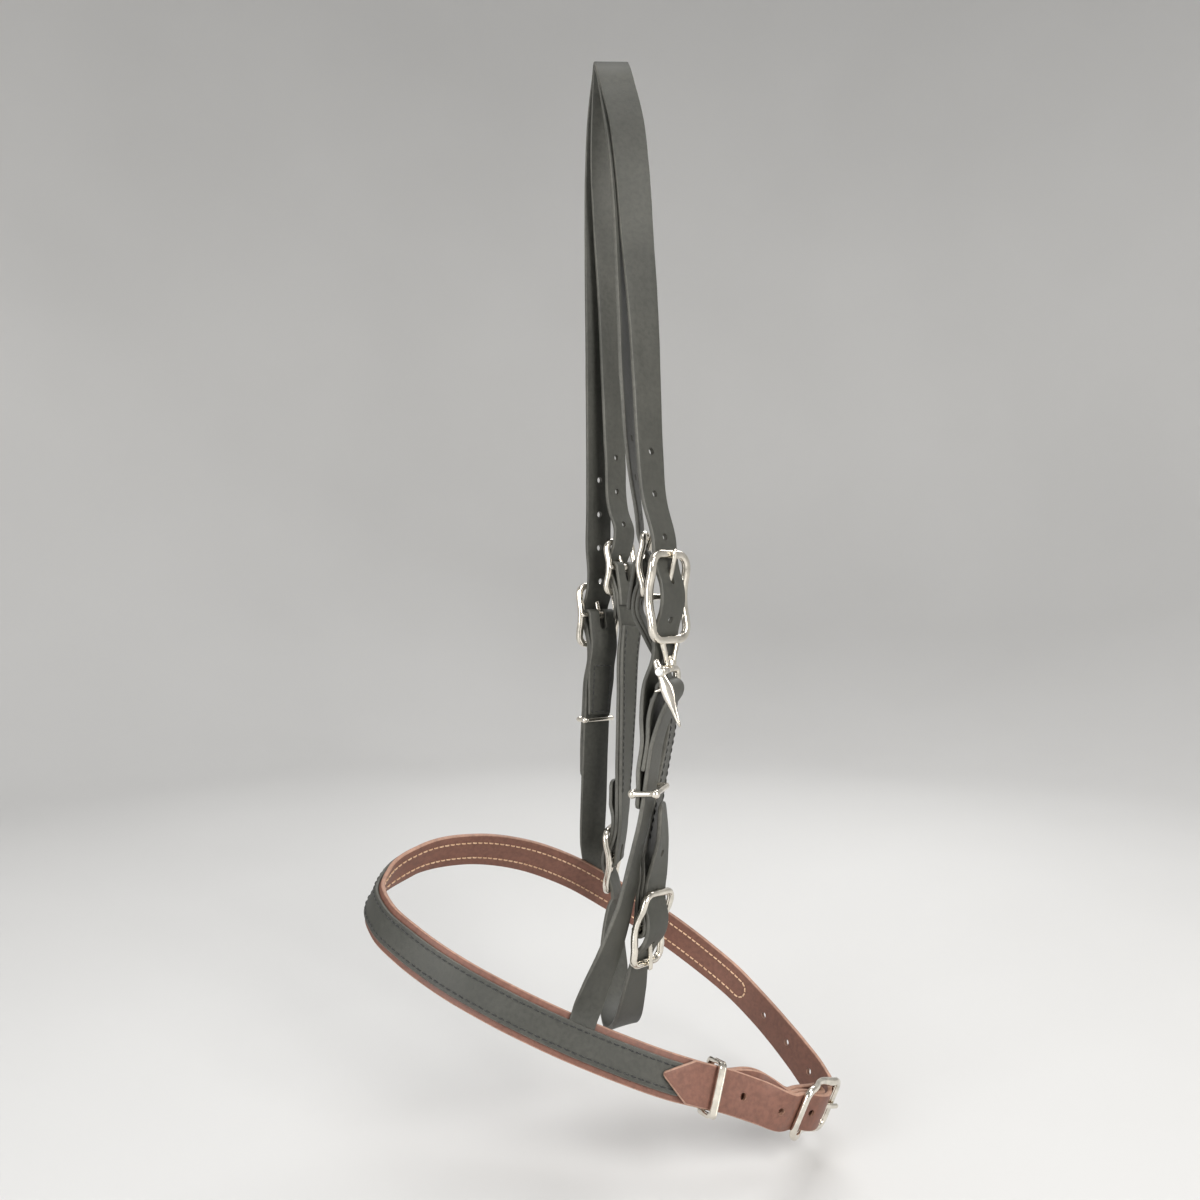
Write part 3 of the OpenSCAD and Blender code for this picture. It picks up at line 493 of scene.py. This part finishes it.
def nickel(name, base, lo, hi, scratch=0.12):
    m, nt, p, link = mat(name)
    c = nt.nodes.new("ShaderNodeTexCoord").outputs["Object"]
    cloud = tex(nt, "Noise", c, Scale=160.0, Detail=4.0, Roughness=0.6)
    fine = tex(nt, "Noise", c, Scale=2600.0, Detail=2.0, Roughness=0.7)
    dull = tuple(0.72 * x for x in base)
    col = ramp(nt, cloud.outputs["Fac"], [(0.28, dull), (0.55, base), (0.8, tuple(min(1, 1.06 * x) for x in base))])
    link(col.outputs["Color"], p.inputs["Base Color"])
    link(remap(nt, cloud.outputs["Fac"], lo, hi).outputs["Result"], p.inputs["Roughness"])
    n1 = bump(nt, cloud.outputs["Fac"], 0.10, 0.0002)
    link(bump(nt, fine.outputs["Fac"], scratch, 0.00003, n1), p.inputs["Normal"])
    p.inputs["Metallic"].default_value = 1.0
    return m


def thread(name, a, b):
    m, nt, p, link = mat(name)
    c = nt.nodes.new("ShaderNodeTexCoord").outputs["Object"]
    ply = tex(nt, "Wave", c, bands_direction="DIAGONAL", Scale=520.0, Distortion=1.5, Detail=2.0)
    cloud = tex(nt, "Noise", c, Scale=260.0, Detail=2.0)
    col = ramp(nt, cloud.outputs["Fac"], [(0.3, a), (0.7, b)])
    link(col.outputs["Color"], p.inputs["Base Color"])
    link(remap(nt, cloud.outputs["Fac"], 0.6, 0.8).outputs["Result"], p.inputs["Roughness"])
    link(bump(nt, ply.outputs["Fac"], 0.5, 0.0002), p.inputs["Normal"])
    p.inputs["Sheen Weight"].default_value = 0.2
    return m


BLACK = leather("black_leather", (0.046, 0.046, 0.039), (0.060, 0.060, 0.051), (0.075, 0.074, 0.063), 0.54, 0.8, 0.42)
BLACK_EDGE = leather("black_leather_edge", (0.060, 0.059, 0.050), (0.100, 0.097, 0.083), (0.140, 0.136, 0.116), 0.50, 1.1, 0.5)
BROWN = leather("brown_leather", (0.165, 0.072, 0.050), (0.192, 0.086, 0.060), (0.222, 0.102, 0.072), 0.50, 0.75, 0.45)
BROWN_EDGE = leather("brown_leather_edge", (0.290, 0.160, 0.112), (0.400, 0.232, 0.165), (0.500, 0.300, 0.220), 0.52, 1.2, 0.45)
NICKEL = nickel("polished_nickel", (0.83, 0.78, 0.69), 0.10, 0.22)
STEEL = nickel("spring_wire", (0.55, 0.55, 0.54), 0.22, 0.36, 0.3)
BLACK_THREAD = thread("black_thread", (0.012, 0.012, 0.012), (0.035, 0.035, 0.032))
TAN_THREAD = thread("tan_thread", (0.62, 0.38, 0.22), (0.82, 0.58, 0.38))
LEATHER, BROWNS = [BLACK, BLACK_EDGE], [BROWN, BROWN_EDGE]


def show(ob, body, slot, *nodes):
    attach(ob, body)
    if nodes:
        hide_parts(*nodes)
    return ob


# ---- leather -------------------------------------------------------------------
crown_holes = [28, 49, 71, 92, 128.5, 149.5, 170.5, 192, 673.5, 696, 719, 762, 783.5, 805]
inner_holes = [34, 75, 96, 117, 566, 587, 608, 655]
throat_holes = [26, 47, 273, 294]
chin_holes = [683.5, 705.5, 728, 778, 802, 826]
overlay_from, overlay_to = 176, 668

C_CROWN, F_CROWN = pair(CROWN, 9)
C_INNER, F_INNER = pair(INNER, 9)
C_NCHEEK, F_NCHEEK = pair(NEARCHEEK, 8)
C_FCHEEK, F_FCHEEK = pair(FARCHEEK, 9)
C_THROAT, F_THROAT = pair(THROAT, 8)
C_BASE, F_BASE = pair(BASE, 7)
C_NHANG, F_NHANG = pair(NHANG, 9)
C_FHANG, F_FHANG = pair(FHANG, 9)


def holes(C, S): return [hole(C, s, hole_d) for s in S]


show(carve(ribbon("crown_strap_leather", F_CROWN, strap_t, LEATHER), [holes(C_CROWN, crown_holes), [room(FC, buckle_l, rise), room(SN, snap_l, rise)]]),
     "headstall", "black_leather", "crown_strap")
show(carve(ribbon("throat_crown_leather", F_INNER, strap_t, LEATHER), [holes(C_INNER, inner_holes), [room(FA, adjuster_l, rise), room(NA, adjuster_l, rise)]]),
     "headstall", "black_leather", "throat_crown_strap")
show(ribbon("near_cheek_leather", F_NCHEEK, strap_t, LEATHER), "headstall", "black_leather", "near_cheek_strap")
show(carve(ribbon("far_cheek_leather", F_FCHEEK, strap_t, LEATHER), [[crew(FC)]]), "headstall", "black_leather", "far_cheek_strap", "far_cheek_lap")
show(carve(ribbon("near_hanger_leather", F_NHANG, strap_t, LEATHER), [[crew(NT), crew(NA)]]), "headstall", "black_leather", "near_throat_hanger")
show(carve(ribbon("far_hanger_leather", F_FHANG, strap_t, LEATHER), [[crew(FT), crew(FA)]]), "headstall", "black_leather", "far_throat_hanger")
show(carve(ribbon("throat_lash_leather", F_THROAT, strap_t, LEATHER), [holes(C_THROAT, throat_holes), [room(NT, buckle_l, rise), room(FT, buckle_l, rise)]]),
     "headstall", "black_leather", "throat_strap")
show(carve(ribbon("noseband_leather", F_BASE, nose_t, BROWNS, r=0.9, uneven=0.04), [holes(C_BASE, chin_holes), [room(CH, buckle_l, rise + 0.6)], [crew(CH, 4.2)]], "MANIFOLD"),
     "headstall", "brown_leather", "noseband_base")
OV0, OV1 = C_BASE.t_of_s(overlay_from), C_BASE.t_of_s(overlay_to)
ov_off = (nose_t + strap_t) / 2 + 0.02
show(ribbon("noseband_overlay_leather", F_BASE, strap_t, LEATHER, off=ov_off, wide=overlay_w, t0=OV0, t1=OV1, round_end=7.0, round_start=5.0, uneven=0.04),
     "headstall", "black_leather", "noseband_overlay")


# ---- stitching -----------------------------------------------------------------
def stitches(name, R, paths, off, side, m, pitch=3.9, length=3.2, r=0.36):
    """Rows of single stitches lying on one face; paths are lists of (arc, across)."""
    verts, faces = [], []
    prof = [(-0.5, -0.55, 0.75), (-0.42, -0.05, 1.0), (-0.2, 0.16, 1.05), (0.0, 0.2, 1.05), (0.2, 0.16, 1.05), (0.42, -0.05, 1.0), (0.5, -0.55, 0.75)]
    sides = 6
    for path in paths:
        path = np.array(path, float)
        d = np.concatenate([[0], np.cumsum(np.linalg.norm(np.diff(path, axis=0), axis=1))])
        count = max(1, int(d[-1] / pitch))
        for k in range(count):
            c = (k + 0.5) * d[-1] / count
            q = lambda x: (np.interp(x, d, path[:, 0]), np.interp(x, d, path[:, 1]))
            (s0, l0), (s1, l1), (sc, lc) = q(c - length / 2), q(c + length / 2), q(c)
            P, W, T, N = R.at_s(sc)
            D = unit(T * (s1 - s0) + W * (l1 - l0 + 0.16 * math.sin(12.9 * k + 3 * len(path))))
            X = unit(np.cross(N, D))
            o = P + W * lc + N * (off + side * 0.05)
            base = len(verts)
            for a, h, k_r in prof:
                for j in range(sides):
                    g = 2 * math.pi * j / sides
                    verts.append(o + D * a * length + N * side * h * 1.0 + r * k_r * (math.cos(g) * X + math.sin(g) * N))
            for i in range(len(prof) - 1):
                for j in range(sides):
                    a, b = base + i * sides + j, base + i * sides + (j + 1) % sides
                    faces.append((a, b, b + sides, a + sides))
            faces.append(tuple(base + j for j in range(sides)))
            faces.append(tuple(base + (len(prof) - 1) * sides + j for j in range(sides))[::-1])
    return new_mesh(name, to_row(np.array(verts)), faces, [m])


def u_path(s0, s1, lat, end=True):
    """Along one row, round the end and back along the other."""
    p = [(s, lat) for s in np.arange(s0, s1 - lat, 2.0)]
    p += [(s1 - lat + lat * cosd(a), lat * sind(a)) for a in range(90, -91, -10)] if end else [(s1 - lat, lat)]
    if end:
        p += [(s, -lat) for s in np.arange(s1 - lat, s0, -2.0)]
    return p


s_a, s_b = F_BASE.s_of_t(OV0) + 3.0, F_BASE.s_of_t(OV1) - 2.4
row = overlay_w / 2 - 2.3
top_off = ov_off + strap_t / 2
show(stitches("overlay_stitches", F_BASE, [u_path(s_a, s_b, row)], top_off, 1, BLACK_THREAD), "headstall", "black_leather")
show(stitches("inside_stitches", F_BASE, [u_path(s_a, s_b, row)], -nose_t / 2, -1, TAN_THREAD, pitch=3.5, length=2.9, r=0.46), "headstall", "brown_leather")


def rows(R, t0, t1, lat):
    s0, s1 = R.s_of_t(t0), R.s_of_t(t1)
    return [[(s, l) for s in np.linspace(s0, s1, 60)] for l in (-lat, lat)]


h_lat = tw / 2 - 2.3
show(stitches("near_hanger_stitches", F_NHANG, rows(F_NHANG, 0.35, 5.7, h_lat) + rows(F_NHANG, 20.4, 26.0, h_lat), -strap_t / 2, -1, BLACK_THREAD), "headstall", "black_leather")
show(stitches("far_hanger_stitches", F_FHANG, rows(F_FHANG, 0.15, 3.8, h_lat) + rows(F_FHANG, 18.2, 21.7, h_lat), strap_t / 2, 1, BLACK_THREAD), "headstall", "black_leather")


def ring_path(R, z0, z1, lat, t_hi):
    """A closed box of stitches between two heights on the part of the strap before key t_hi."""
    sel = R.t < t_hi
    order = np.argsort(R.P[sel][:, 2])
    s0, s1 = (float(np.interp(z, R.P[sel][order, 2], R.s[sel][order])) for z in (z0, z1))
    return [(s, lat) for s in np.linspace(s0, s1, 20)] + [(s1, l) for l in np.linspace(lat, -lat, 10)] + [(s, -lat) for s in np.linspace(s1, s0, 20)] + [(s0, l) for l in np.linspace(-lat, lat, 10)]


show(stitches("far_cheek_stitches", F_FCHEEK, [ring_path(F_FCHEEK, -41, -70, 6.2, 3.6)], -strap_t / 2, -1, BLACK_THREAD), "headstall", "black_leather")
show(stitches("far_cheek_stitches_in", F_FCHEEK, [ring_path(F_FCHEEK, -41, -70, 6.2, 3.6)], strap_t / 2, 1, BLACK_THREAD), "headstall", "black_leather")


# ---- metal ---------------------------------------------------------------------
def smooth_path(pts, closed, n):
    """Catmull-Rom through points, n steps for each."""
    pts = [np.asarray(p, float) for p in pts]
    out, k = [], len(pts)
    g = (lambda i: pts[i % k]) if closed else (lambda i: pts[min(max(i, 0), k - 1)])
    for i in range(k if closed else k - 1):
        p0, p1, p2, p3 = g(i - 1), g(i), g(i + 1), g(i + 2)
        for j in range(n):
            u = j / n
            out.append(0.5 * ((2 * p1) + (-p0 + p2) * u + (2 * p0 - 5 * p1 + 4 * p2 - p3) * u * u + (-p0 + 3 * p1 - 3 * p2 + p3) * u**3))
    if not closed:
        out.append(pts[-1])
    return np.array(out)


def tube(path, up, rx, rz, closed=False, sides=16, power=1.0, cap=True, groove=0.0):
    """Tube with an oval section: rx across up, rz along up; both may vary along the path."""
    path = np.asarray(path, float)
    n = len(path)
    rx = np.broadcast_to(np.asarray(rx, float), (n,)).copy(); rz = np.broadcast_to(np.asarray(rz, float), (n,)).copy()
    i = np.arange(n)
    T = path[(i + 1) % n] - path[(i - 1) % n] if closed else path[np.minimum(i + 1, n - 1)] - path[np.maximum(i - 1, 0)]
    T /= np.linalg.norm(T, axis=1)[:, None]
    U = np.broadcast_to(np.asarray(up, float), (n, 3))
    U = U - np.sum(U * T, 1)[:, None] * T
    U /= np.linalg.norm(U, axis=1)[:, None]
    X = np.cross(T, U)
    rows_, extra = [], []
    def ring(c, t, x, u, a, b):
        pts = []
        for j in range(sides):
            g = 2 * math.pi * (j + 0.5) / sides
            cx, sz = math.cos(g), math.sin(g)
            cx, sz = math.copysign(abs(cx) ** power, cx), math.copysign(abs(sz) ** power, sz)
            dz = -groove * b * max(0.0, math.sin(g)) ** 6 if groove else 0.0
            pts.append(c + x * a * cx + u * (b * sz + dz))
        return pts
    caps = [] if closed or not cap else [(0.0, 0.35), (0.35, 0.8)]
    for k, (q, f) in enumerate(caps):
        rows_.append(ring(path[0] - T[0] * max(rx[0], rz[0]) * (1 - q) * 0.85, T[0], X[0], U[0], rx[0] * f, rz[0] * f))
    for k in range(n):
        rows_.append(ring(path[k], T[k], X[k], U[k], rx[k], rz[k]))
    for k, (q, f) in enumerate(caps[::-1]):
        rows_.append(ring(path[-1] + T[-1] * max(rx[-1], rz[-1]) * (1 - q) * 0.85, T[-1], X[-1], U[-1], rx[-1] * f, rz[-1] * f))
    m = len(rows_)
    faces = []
    for a in range(m if closed else m - 1):
        for j in range(sides):
            p, q = a * sides + j, a * sides + (j + 1) % sides
            b = ((a + 1) % m) * sides
            faces.append((p, q, b + (j + 1) % sides, b + j))
    if not closed:
        faces += [tuple(range(sides))[::-1], tuple(range((m - 1) * sides, m * sides))]
    return np.concatenate([np.array(r) for r in rows_]), faces


def spin(axis_pts, o, d, x, sides=28, closed=False):
    """Turned shape: (along, radius) profile about direction d from o."""
    d, x = unit(d), unit(x)
    y = np.cross(d, x)
    verts, faces, m = [], [], len(axis_pts)
    for a, r in axis_pts:
        for j in range(sides):
            g = 2 * math.pi * j / sides
            verts.append(np.asarray(o, float) + d * a + r * (math.cos(g) * x + math.sin(g) * y))
    for a in range(m if closed else m - 1):
        for j in range(sides):
            b = (a + 1) % m
            faces.append((a * sides + j, a * sides + (j + 1) % sides, b * sides + (j + 1) % sides, b * sides + j))
    if not closed:
        faces += [tuple(range(sides))[::-1], tuple(range((m - 1) * sides, m * sides))]
    return np.array(verts), faces


def ball(c, r, sides=20, rings=10, squash=1.0):
    return spin([(-r * squash * cosd(180 * k / rings), max(r * sind(180 * k / rings), 0.02)) for k in range(rings + 1)], c, V(0, 0, 1), V(1, 0, 0), sides)


def metal(name, parts, B, m=None, mirror=False):
    """Joins closed parts given in a frame's own coordinates into one piece."""
    verts, faces, k = [], [], 0
    for v, f in parts:
        v = np.asarray(v, float)
        if mirror:
            v = v * V(-1, 1, 1)
        verts.append(B[0] + v[:, :1] * B[1] + v[:, 1:2] * B[2] + v[:, 2:3] * B[3])
        faces += [tuple(i + k for i in q) for q in f]; k += len(v)
    me = bpy.data.meshes.new(name)
    me.from_pydata([tuple(p) for p in to_row(np.concatenate(verts))], [], faces)
    me.materials.append(m or NICKEL)
    bm = bmesh.new(); bm.from_mesh(me)
    bmesh.ops.recalc_face_normals(bm, faces=bm.faces)
    bm.to_mesh(me); bm.free()
    me.polygons.foreach_set("use_smooth", [True] * len(me.polygons))
    me.set_sharp_from_angle(angle=math.radians(48))
    ob = bpy.data.objects.new(name, me)
    bpy.context.scene.collection.objects.link(ob)
    return ob


def loop_path(hx, hy, c, n=7, bow=0.0):
    """Rounded rectangle, going round once; bow makes the long sides swell a little."""
    pts = []
    for q, (sx, sy) in enumerate(((1, -1), (1, 1), (-1, 1), (-1, -1))):
        for k in range(n + 1):
            a = -90 + 90 * q + 90 * k / n
            pts.append((sx * (hx - c) + c * cosd(a), sy * (hy - c) + c * sind(a)))
        nx, ny = [((hx, 0), None), ((0, hy), None), ((-hx, 0), None), ((0, -hy), None)][q][0]
        if q in (0, 2):
            for f in (-0.75, -0.5, -0.25, 0, 0.25, 0.5, 0.75):
                s = 1 if q == 0 else -1
                pts.append((s * hx, s * f * (hy - c)))
        else:
            for f in (0.5, 0, -0.5):
                s = 1 if q == 1 else -1
                pts.append((s * f * (hx - c), s * hy))
    return [(x + math.copysign(bow, x) * max(0, 1 - (y / hy) ** 2) * (abs(x) > hx * 0.8), y) for x, y in pts]


def frame_parts(l, b, h):
    hx, hy = b / 2 - wire_r, hl(l)
    arch = lambda y: h - (h - 0.25) * max(0.0, 1 - (abs(y) / (hy * 0.62)) ** 2) ** 1.2
    xy = loop_path(hx, hy, 7.0 if b > 32 else 5.0)
    main = [V(x, y, arch(y)) for x, y in xy]
    wide = [(2.45 if b > 32 else 2.1 if b > 30 else 1.95) - 0.35 * min(1, (abs(y) / hy) ** 3) for x, y in xy]
    lip_xy = loop_path(hx - 1.75, hy - 1.35, 5.4 if b > 32 else 3.8)
    lip = [V(x, y, arch(y) - 0.25) for x, y in lip_xy]
    parts = [tube(main, V(0, 0, 1), wide, 1.9 if b > 32 else 1.75, closed=True, sides=18, power=0.82),
             tube(lip, V(0, 0, 1), 0.85, 0.7, closed=True, sides=10)]
    bar = [V(x, 0, 0.0) for x in np.linspace(-hx, hx, 9)]
    parts.append(tube(bar, V(0, 0, 1), [2.1, 1.75, 1.58, 1.55, 1.55, 1.55, 1.58, 1.75, 2.1], [1.8, 1.65, 1.58, 1.55, 1.55, 1.55, 1.58, 1.65, 1.8], sides=14))
    return parts


def tongue_parts(l, h):
    e = shank(l, h)
    ring = [(-1.75, 1.95), (-1.75, 2.6), (-1.45, 2.95), (1.45, 2.95), (1.75, 2.6), (1.75, 1.95), (1.3, 1.82), (-1.3, 1.82)]
    path = [e * 2.3 / np.linalg.norm(e), e * 0.3, e * 0.55, e * 0.8, e, e * 1.045 + V(0, 0, -0.35)]
    p = smooth_path(path, False, 5)
    u = np.linspace(0, 1, len(p))
    bend = 0.22 * np.sin(np.pi * u)
    p = p + bend[:, None] * V(0, -e[2], e[1]) / np.linalg.norm(e)
    rx = 1.55 - 0.3 * u ** 1.5
    rz = 1.25 - 0.12 * u
    return [spin(ring, V(0, 0, 0), V(1, 0, 0), V(0, 1, 0), 28, closed=True), tube(p, V(1, 0, 0), rz, rx, sides=14)]


BUCKLES = [("snap_buckle", SN, snap_l, snap_b, rise), ("far_crown_buckle", FC, buckle_l, buckle_b, rise), ("near_adjuster", NA, adjuster_l, throat_b, rise),
           ("far_adjuster", FA, adjuster_l, throat_b, rise), ("near_throat_buckle", NT, buckle_l, throat_b, rise), ("far_throat_buckle", FT, buckle_l, throat_b, rise),
           ("chin_buckle", CH, buckle_l, buckle_b, rise + 0.6)]
lug = 12.5
for name, B, l, b, h in BUCKLES:
    parts = frame_parts(l, b, h)
    if name == "snap_buckle":
        y0 = -hl(l)
        for s in (-1, 1):
            p = smooth_path([V(s * 6.4, y0 + 0.2, h), V(s * 5.6, y0 - 3.2, h), V(s * 4.2, y0 - 6.6, h), V(s * 3.0, y0 - lug + 1.4, h)], False, 5)
            parts.append(tube(p, V(0, 0, 1), np.linspace(2.0, 1.5, len(p)), 1.45, sides=12))
        parts.append(spin([(-1.0, 1.8), (-1.0, 2.9), (-0.6, 3.4), (1.9, 3.4), (2.4, 2.9), (2.4, 1.8)], V(0, y0 - lug + 0.4, h), V(0, 1, 0), V(1, 0, 0), 28, closed=True))
    show(metal(name + "_frame_metal", parts, B), "headstall", "nickel", name + "_frame")
    show(metal(name + "_tongue_metal", tongue_parts(l, h), B), name + "_tongue", "nickel", name + "_tongue")

# snap hook, lever, pin and spring, in the snap's own coordinates, gate on the near side
hook = smooth_path([V(7.2, 8.8, 0), V(2, 8.9, 0), V(-5, 8.9, 0), V(-10.8, 8.7, 0), V(-13.2, 7.2, 0), V(-13.6, 4.4, 0), V(-13.2, 1.4, 0), V(-10.8, 0.1, 0),
                    V(-5, 0, 0), V(2, 0, 0), V(8, 0, 0), V(11.8, 0.2, 0), V(13.2, 1.9, 0)], False, 6)
u = np.linspace(0, 1, len(hook))
hr = 1.7 + 0.35 * np.exp(-((u - 0.42) / 0.1) ** 2) - 0.25 * np.clip((u - 0.9) / 0.1, 0, 1)
parts = [tube(hook, V(0, 0, 1), hr, hr * 1.02, sides=18)]
parts.append(spin([(7.6, 1.0), (8.0, 2.3), (9.3, 2.35), (10.6, 1.65), (12, 1.42), (14.55, 1.42), (14.6, 2.1), (15.2, 2.25), (15.8, 1.8), (16.1, 0.6)], V(0, 0, 0), V(0, 1, 0), V(1, 0, 0), 28))
parts.append(tube(smooth_path([V(12.2, 0.3, 0.2), V(12.8, -0.6, -1.4), V(13.2, -1.3, -3.4)], False, 5), V(1, 0, 0), np.linspace(1.2, 0.55, 11), np.linspace(1.25, 0.7, 11), sides=12))
show(metal("snap_hook_metal", parts, SH, mirror=True), "snap_hook", "nickel", "snap_hook")
blade = smooth_path([V(15.6, 13.6, -2.4), V(15.6, 9.4, -0.9), V(15.8, 5.0, 1.2), V(16.0, 0.6, 2.9), V(16.0, -5.0, 4.9), V(16.0, -11, 7.2), V(16.0, -17.6, 9.7)], False, 6)
u = np.linspace(0, 1, len(blade))
bw = np.interp(u, [0, 0.12, 0.3, 0.5, 0.62, 0.8, 1.0], [1.5, 2.0, 2.1, 3.1, 2.9, 1.7, 0.6])
parts = [spin([(8.9, 1.3), (8.9, 2.3), (9.3, 2.7), (17.1, 2.7), (17.5, 2.3), (17.5, 1.3)], V(0, 8.8, 0), V(1, 0, 0), V(0, 1, 0), 30, closed=True)]
parts.append(tube(blade, V(1, 0, 0), bw, 1.05 - 0.35 * u, sides=16, power=0.9))
parts.append(tube([V(12.9, 7.2, 0), V(12.9, 6.2, 0), V(12.9, 4.9, 0)], V(1, 0, 0), [1.5, 1.25, 1.15], [1.5, 1.25, 1.15], sides=14))
show(metal("snap_lever_metal", parts, SH, mirror=True), "snap_lever", "nickel", "snap_lever")


def keeper(name, B, x, z, r, c, balls, body, node, flat=None):
    xy = loop_path(x, z, c, n=6)
    path = [V(a, 0, b) for a, b in xy]
    if flat:
        parts = [tube(path, V(0, 1, 0), flat[1], flat[0], closed=True, sides=20, power=0.55)]
        for s in (-1, 1):
            parts.append(tube([p + V(0, s * (flat[0] - 0.42), 0) for p in path], V(0, 1, 0), flat[1] + 0.28, 0.5, closed=True, sides=10))
    else:
        parts = [tube(path, V(0, 1, 0), r, r * 1.15, closed=True, sides=16)]
    for bx, bz, br in balls:
        parts.append(ball(V(bx, 0, bz), br))
    show(metal(name, parts, B), body, "nickel", node)


keeper("near_keeper_metal", NK, 11.2, 6.0, 1.25, 2.0, [(-11.0, 6.0, 2.35), (-11.0, -6.0, 2.25)], "headstall", "near_cheek_keeper")
keeper("far_keeper_metal", FK, 11.2, 4.4, 1.2, 2.2, [(11.0, -4.0, 2.0)], "headstall", "far_cheek_keeper")
keeper("chin_keeper_metal", CK, 12.8, 6.8, 1.1, 2.4, [], "chin_keeper", "chin_keeper", flat=(2.1, 0.75))

for node in ("snap_pivot_pin", "snap_spring"):
    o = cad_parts[node]
    if not o.material_slots:
        o.data.materials.append(STEEL)
    for s in o.material_slots:
        s.material = STEEL

# ---- studio --------------------------------------------------------------------
low = cad_lo[2] - 0.012
prof = [(0.0, 0.0), (0.5, 0.0), (1.25, 0.0)] + [(1.25 + 0.75 * sind(a), 0.75 - 0.75 * cosd(a)) for a in range(6, 91, 6)] + [(2.0, 3.0)]
turns = 96
verts = [(0.0, 0.0, low)] + [(r * sind(360 * k / turns), r * cosd(360 * k / turns), low + z) for r, z in prof[1:] for k in range(turns)]
faces = [(0, 1 + (k + 1) % turns, 1 + k) for k in range(turns)]
faces += [(1 + i * turns + k, 1 + i * turns + (k + 1) % turns, 1 + (i + 1) * turns + (k + 1) % turns, 1 + (i + 1) * turns + k) for i in range(len(prof) - 2) for k in range(turns)]
me = bpy.data.meshes.new("floor"); me.from_pydata(verts, [], faces)
me.polygons.foreach_set("use_smooth", [True] * len(me.polygons))
floor = bpy.data.objects.new("floor", me)
bpy.context.scene.collection.objects.link(floor)
m, nt, p, link = mat("floor_paint")
c = nt.nodes.new("ShaderNodeTexCoord").outputs["Object"]
col = ramp(nt, tex(nt, "Noise", c, Scale=2.2, Detail=2.0).outputs["Fac"], [(0.3, (0.66, 0.655, 0.645)), (0.7, (0.69, 0.685, 0.675))])
link(col.outputs["Color"], p.inputs["Base Color"])
p.inputs["Roughness"].default_value = 0.9
p.inputs["Specular IOR Level"].default_value = 0.2
me.materials.append(m)

world = bpy.data.worlds.new("studio")
bpy.context.scene.world = world
world.use_nodes = True
bg = world.node_tree.nodes["Background"]
bg.inputs["Color"].default_value = (0.80, 0.81, 0.83, 1)
bg.inputs["Strength"].default_value = 0.38


def area(name, loc, target, size, power, colour=(1, 1, 1)):
    L = bpy.data.lights.new(name, "AREA")
    L.shape, L.size, L.size_y, L.energy, L.color = "RECTANGLE", size[0], size[1], power, colour
    o = bpy.data.objects.new(name, L)
    o.location = loc
    o.rotation_euler = (Vector(target) - Vector(loc)).to_track_quat("-Z", "Y").to_euler()
    o.visible_camera = False
    bpy.context.scene.collection.objects.link(o)


area("key", (0.80, -1.15, 0.30), (0, 0, -0.32), (0.7, 0.9), 19, (1.0, 0.985, 0.96))
area("fill", (-0.95, -0.9, -0.05), (0, 0, -0.35), (0.5, 1.1), 9, (0.97, 0.985, 1.0))
area("rim", (0.35, 0.95, 0.55), (0, 0, -0.3), (0.9, 0.5), 9)
area("top", (0, -0.1, 1.0), (0, 0, -0.3), (0.8, 0.8), 5)

cam = bpy.data.objects.new("camera", bpy.data.cameras.new("camera"))
bpy.context.scene.collection.objects.link(cam)
cam.location = (-0.006, -0.560, -0.3025)
cam.rotation_euler = (math.radians(90), 0, 0)
cam.data.lens, cam.data.sensor_width, cam.data.clip_start = 29.4, 36.0, 0.01
bpy.context.scene.camera = cam
bpy.context.scene.view_settings.view_transform = "Standard"

bpy.data.materials.remove(EDGE_DUMMY)
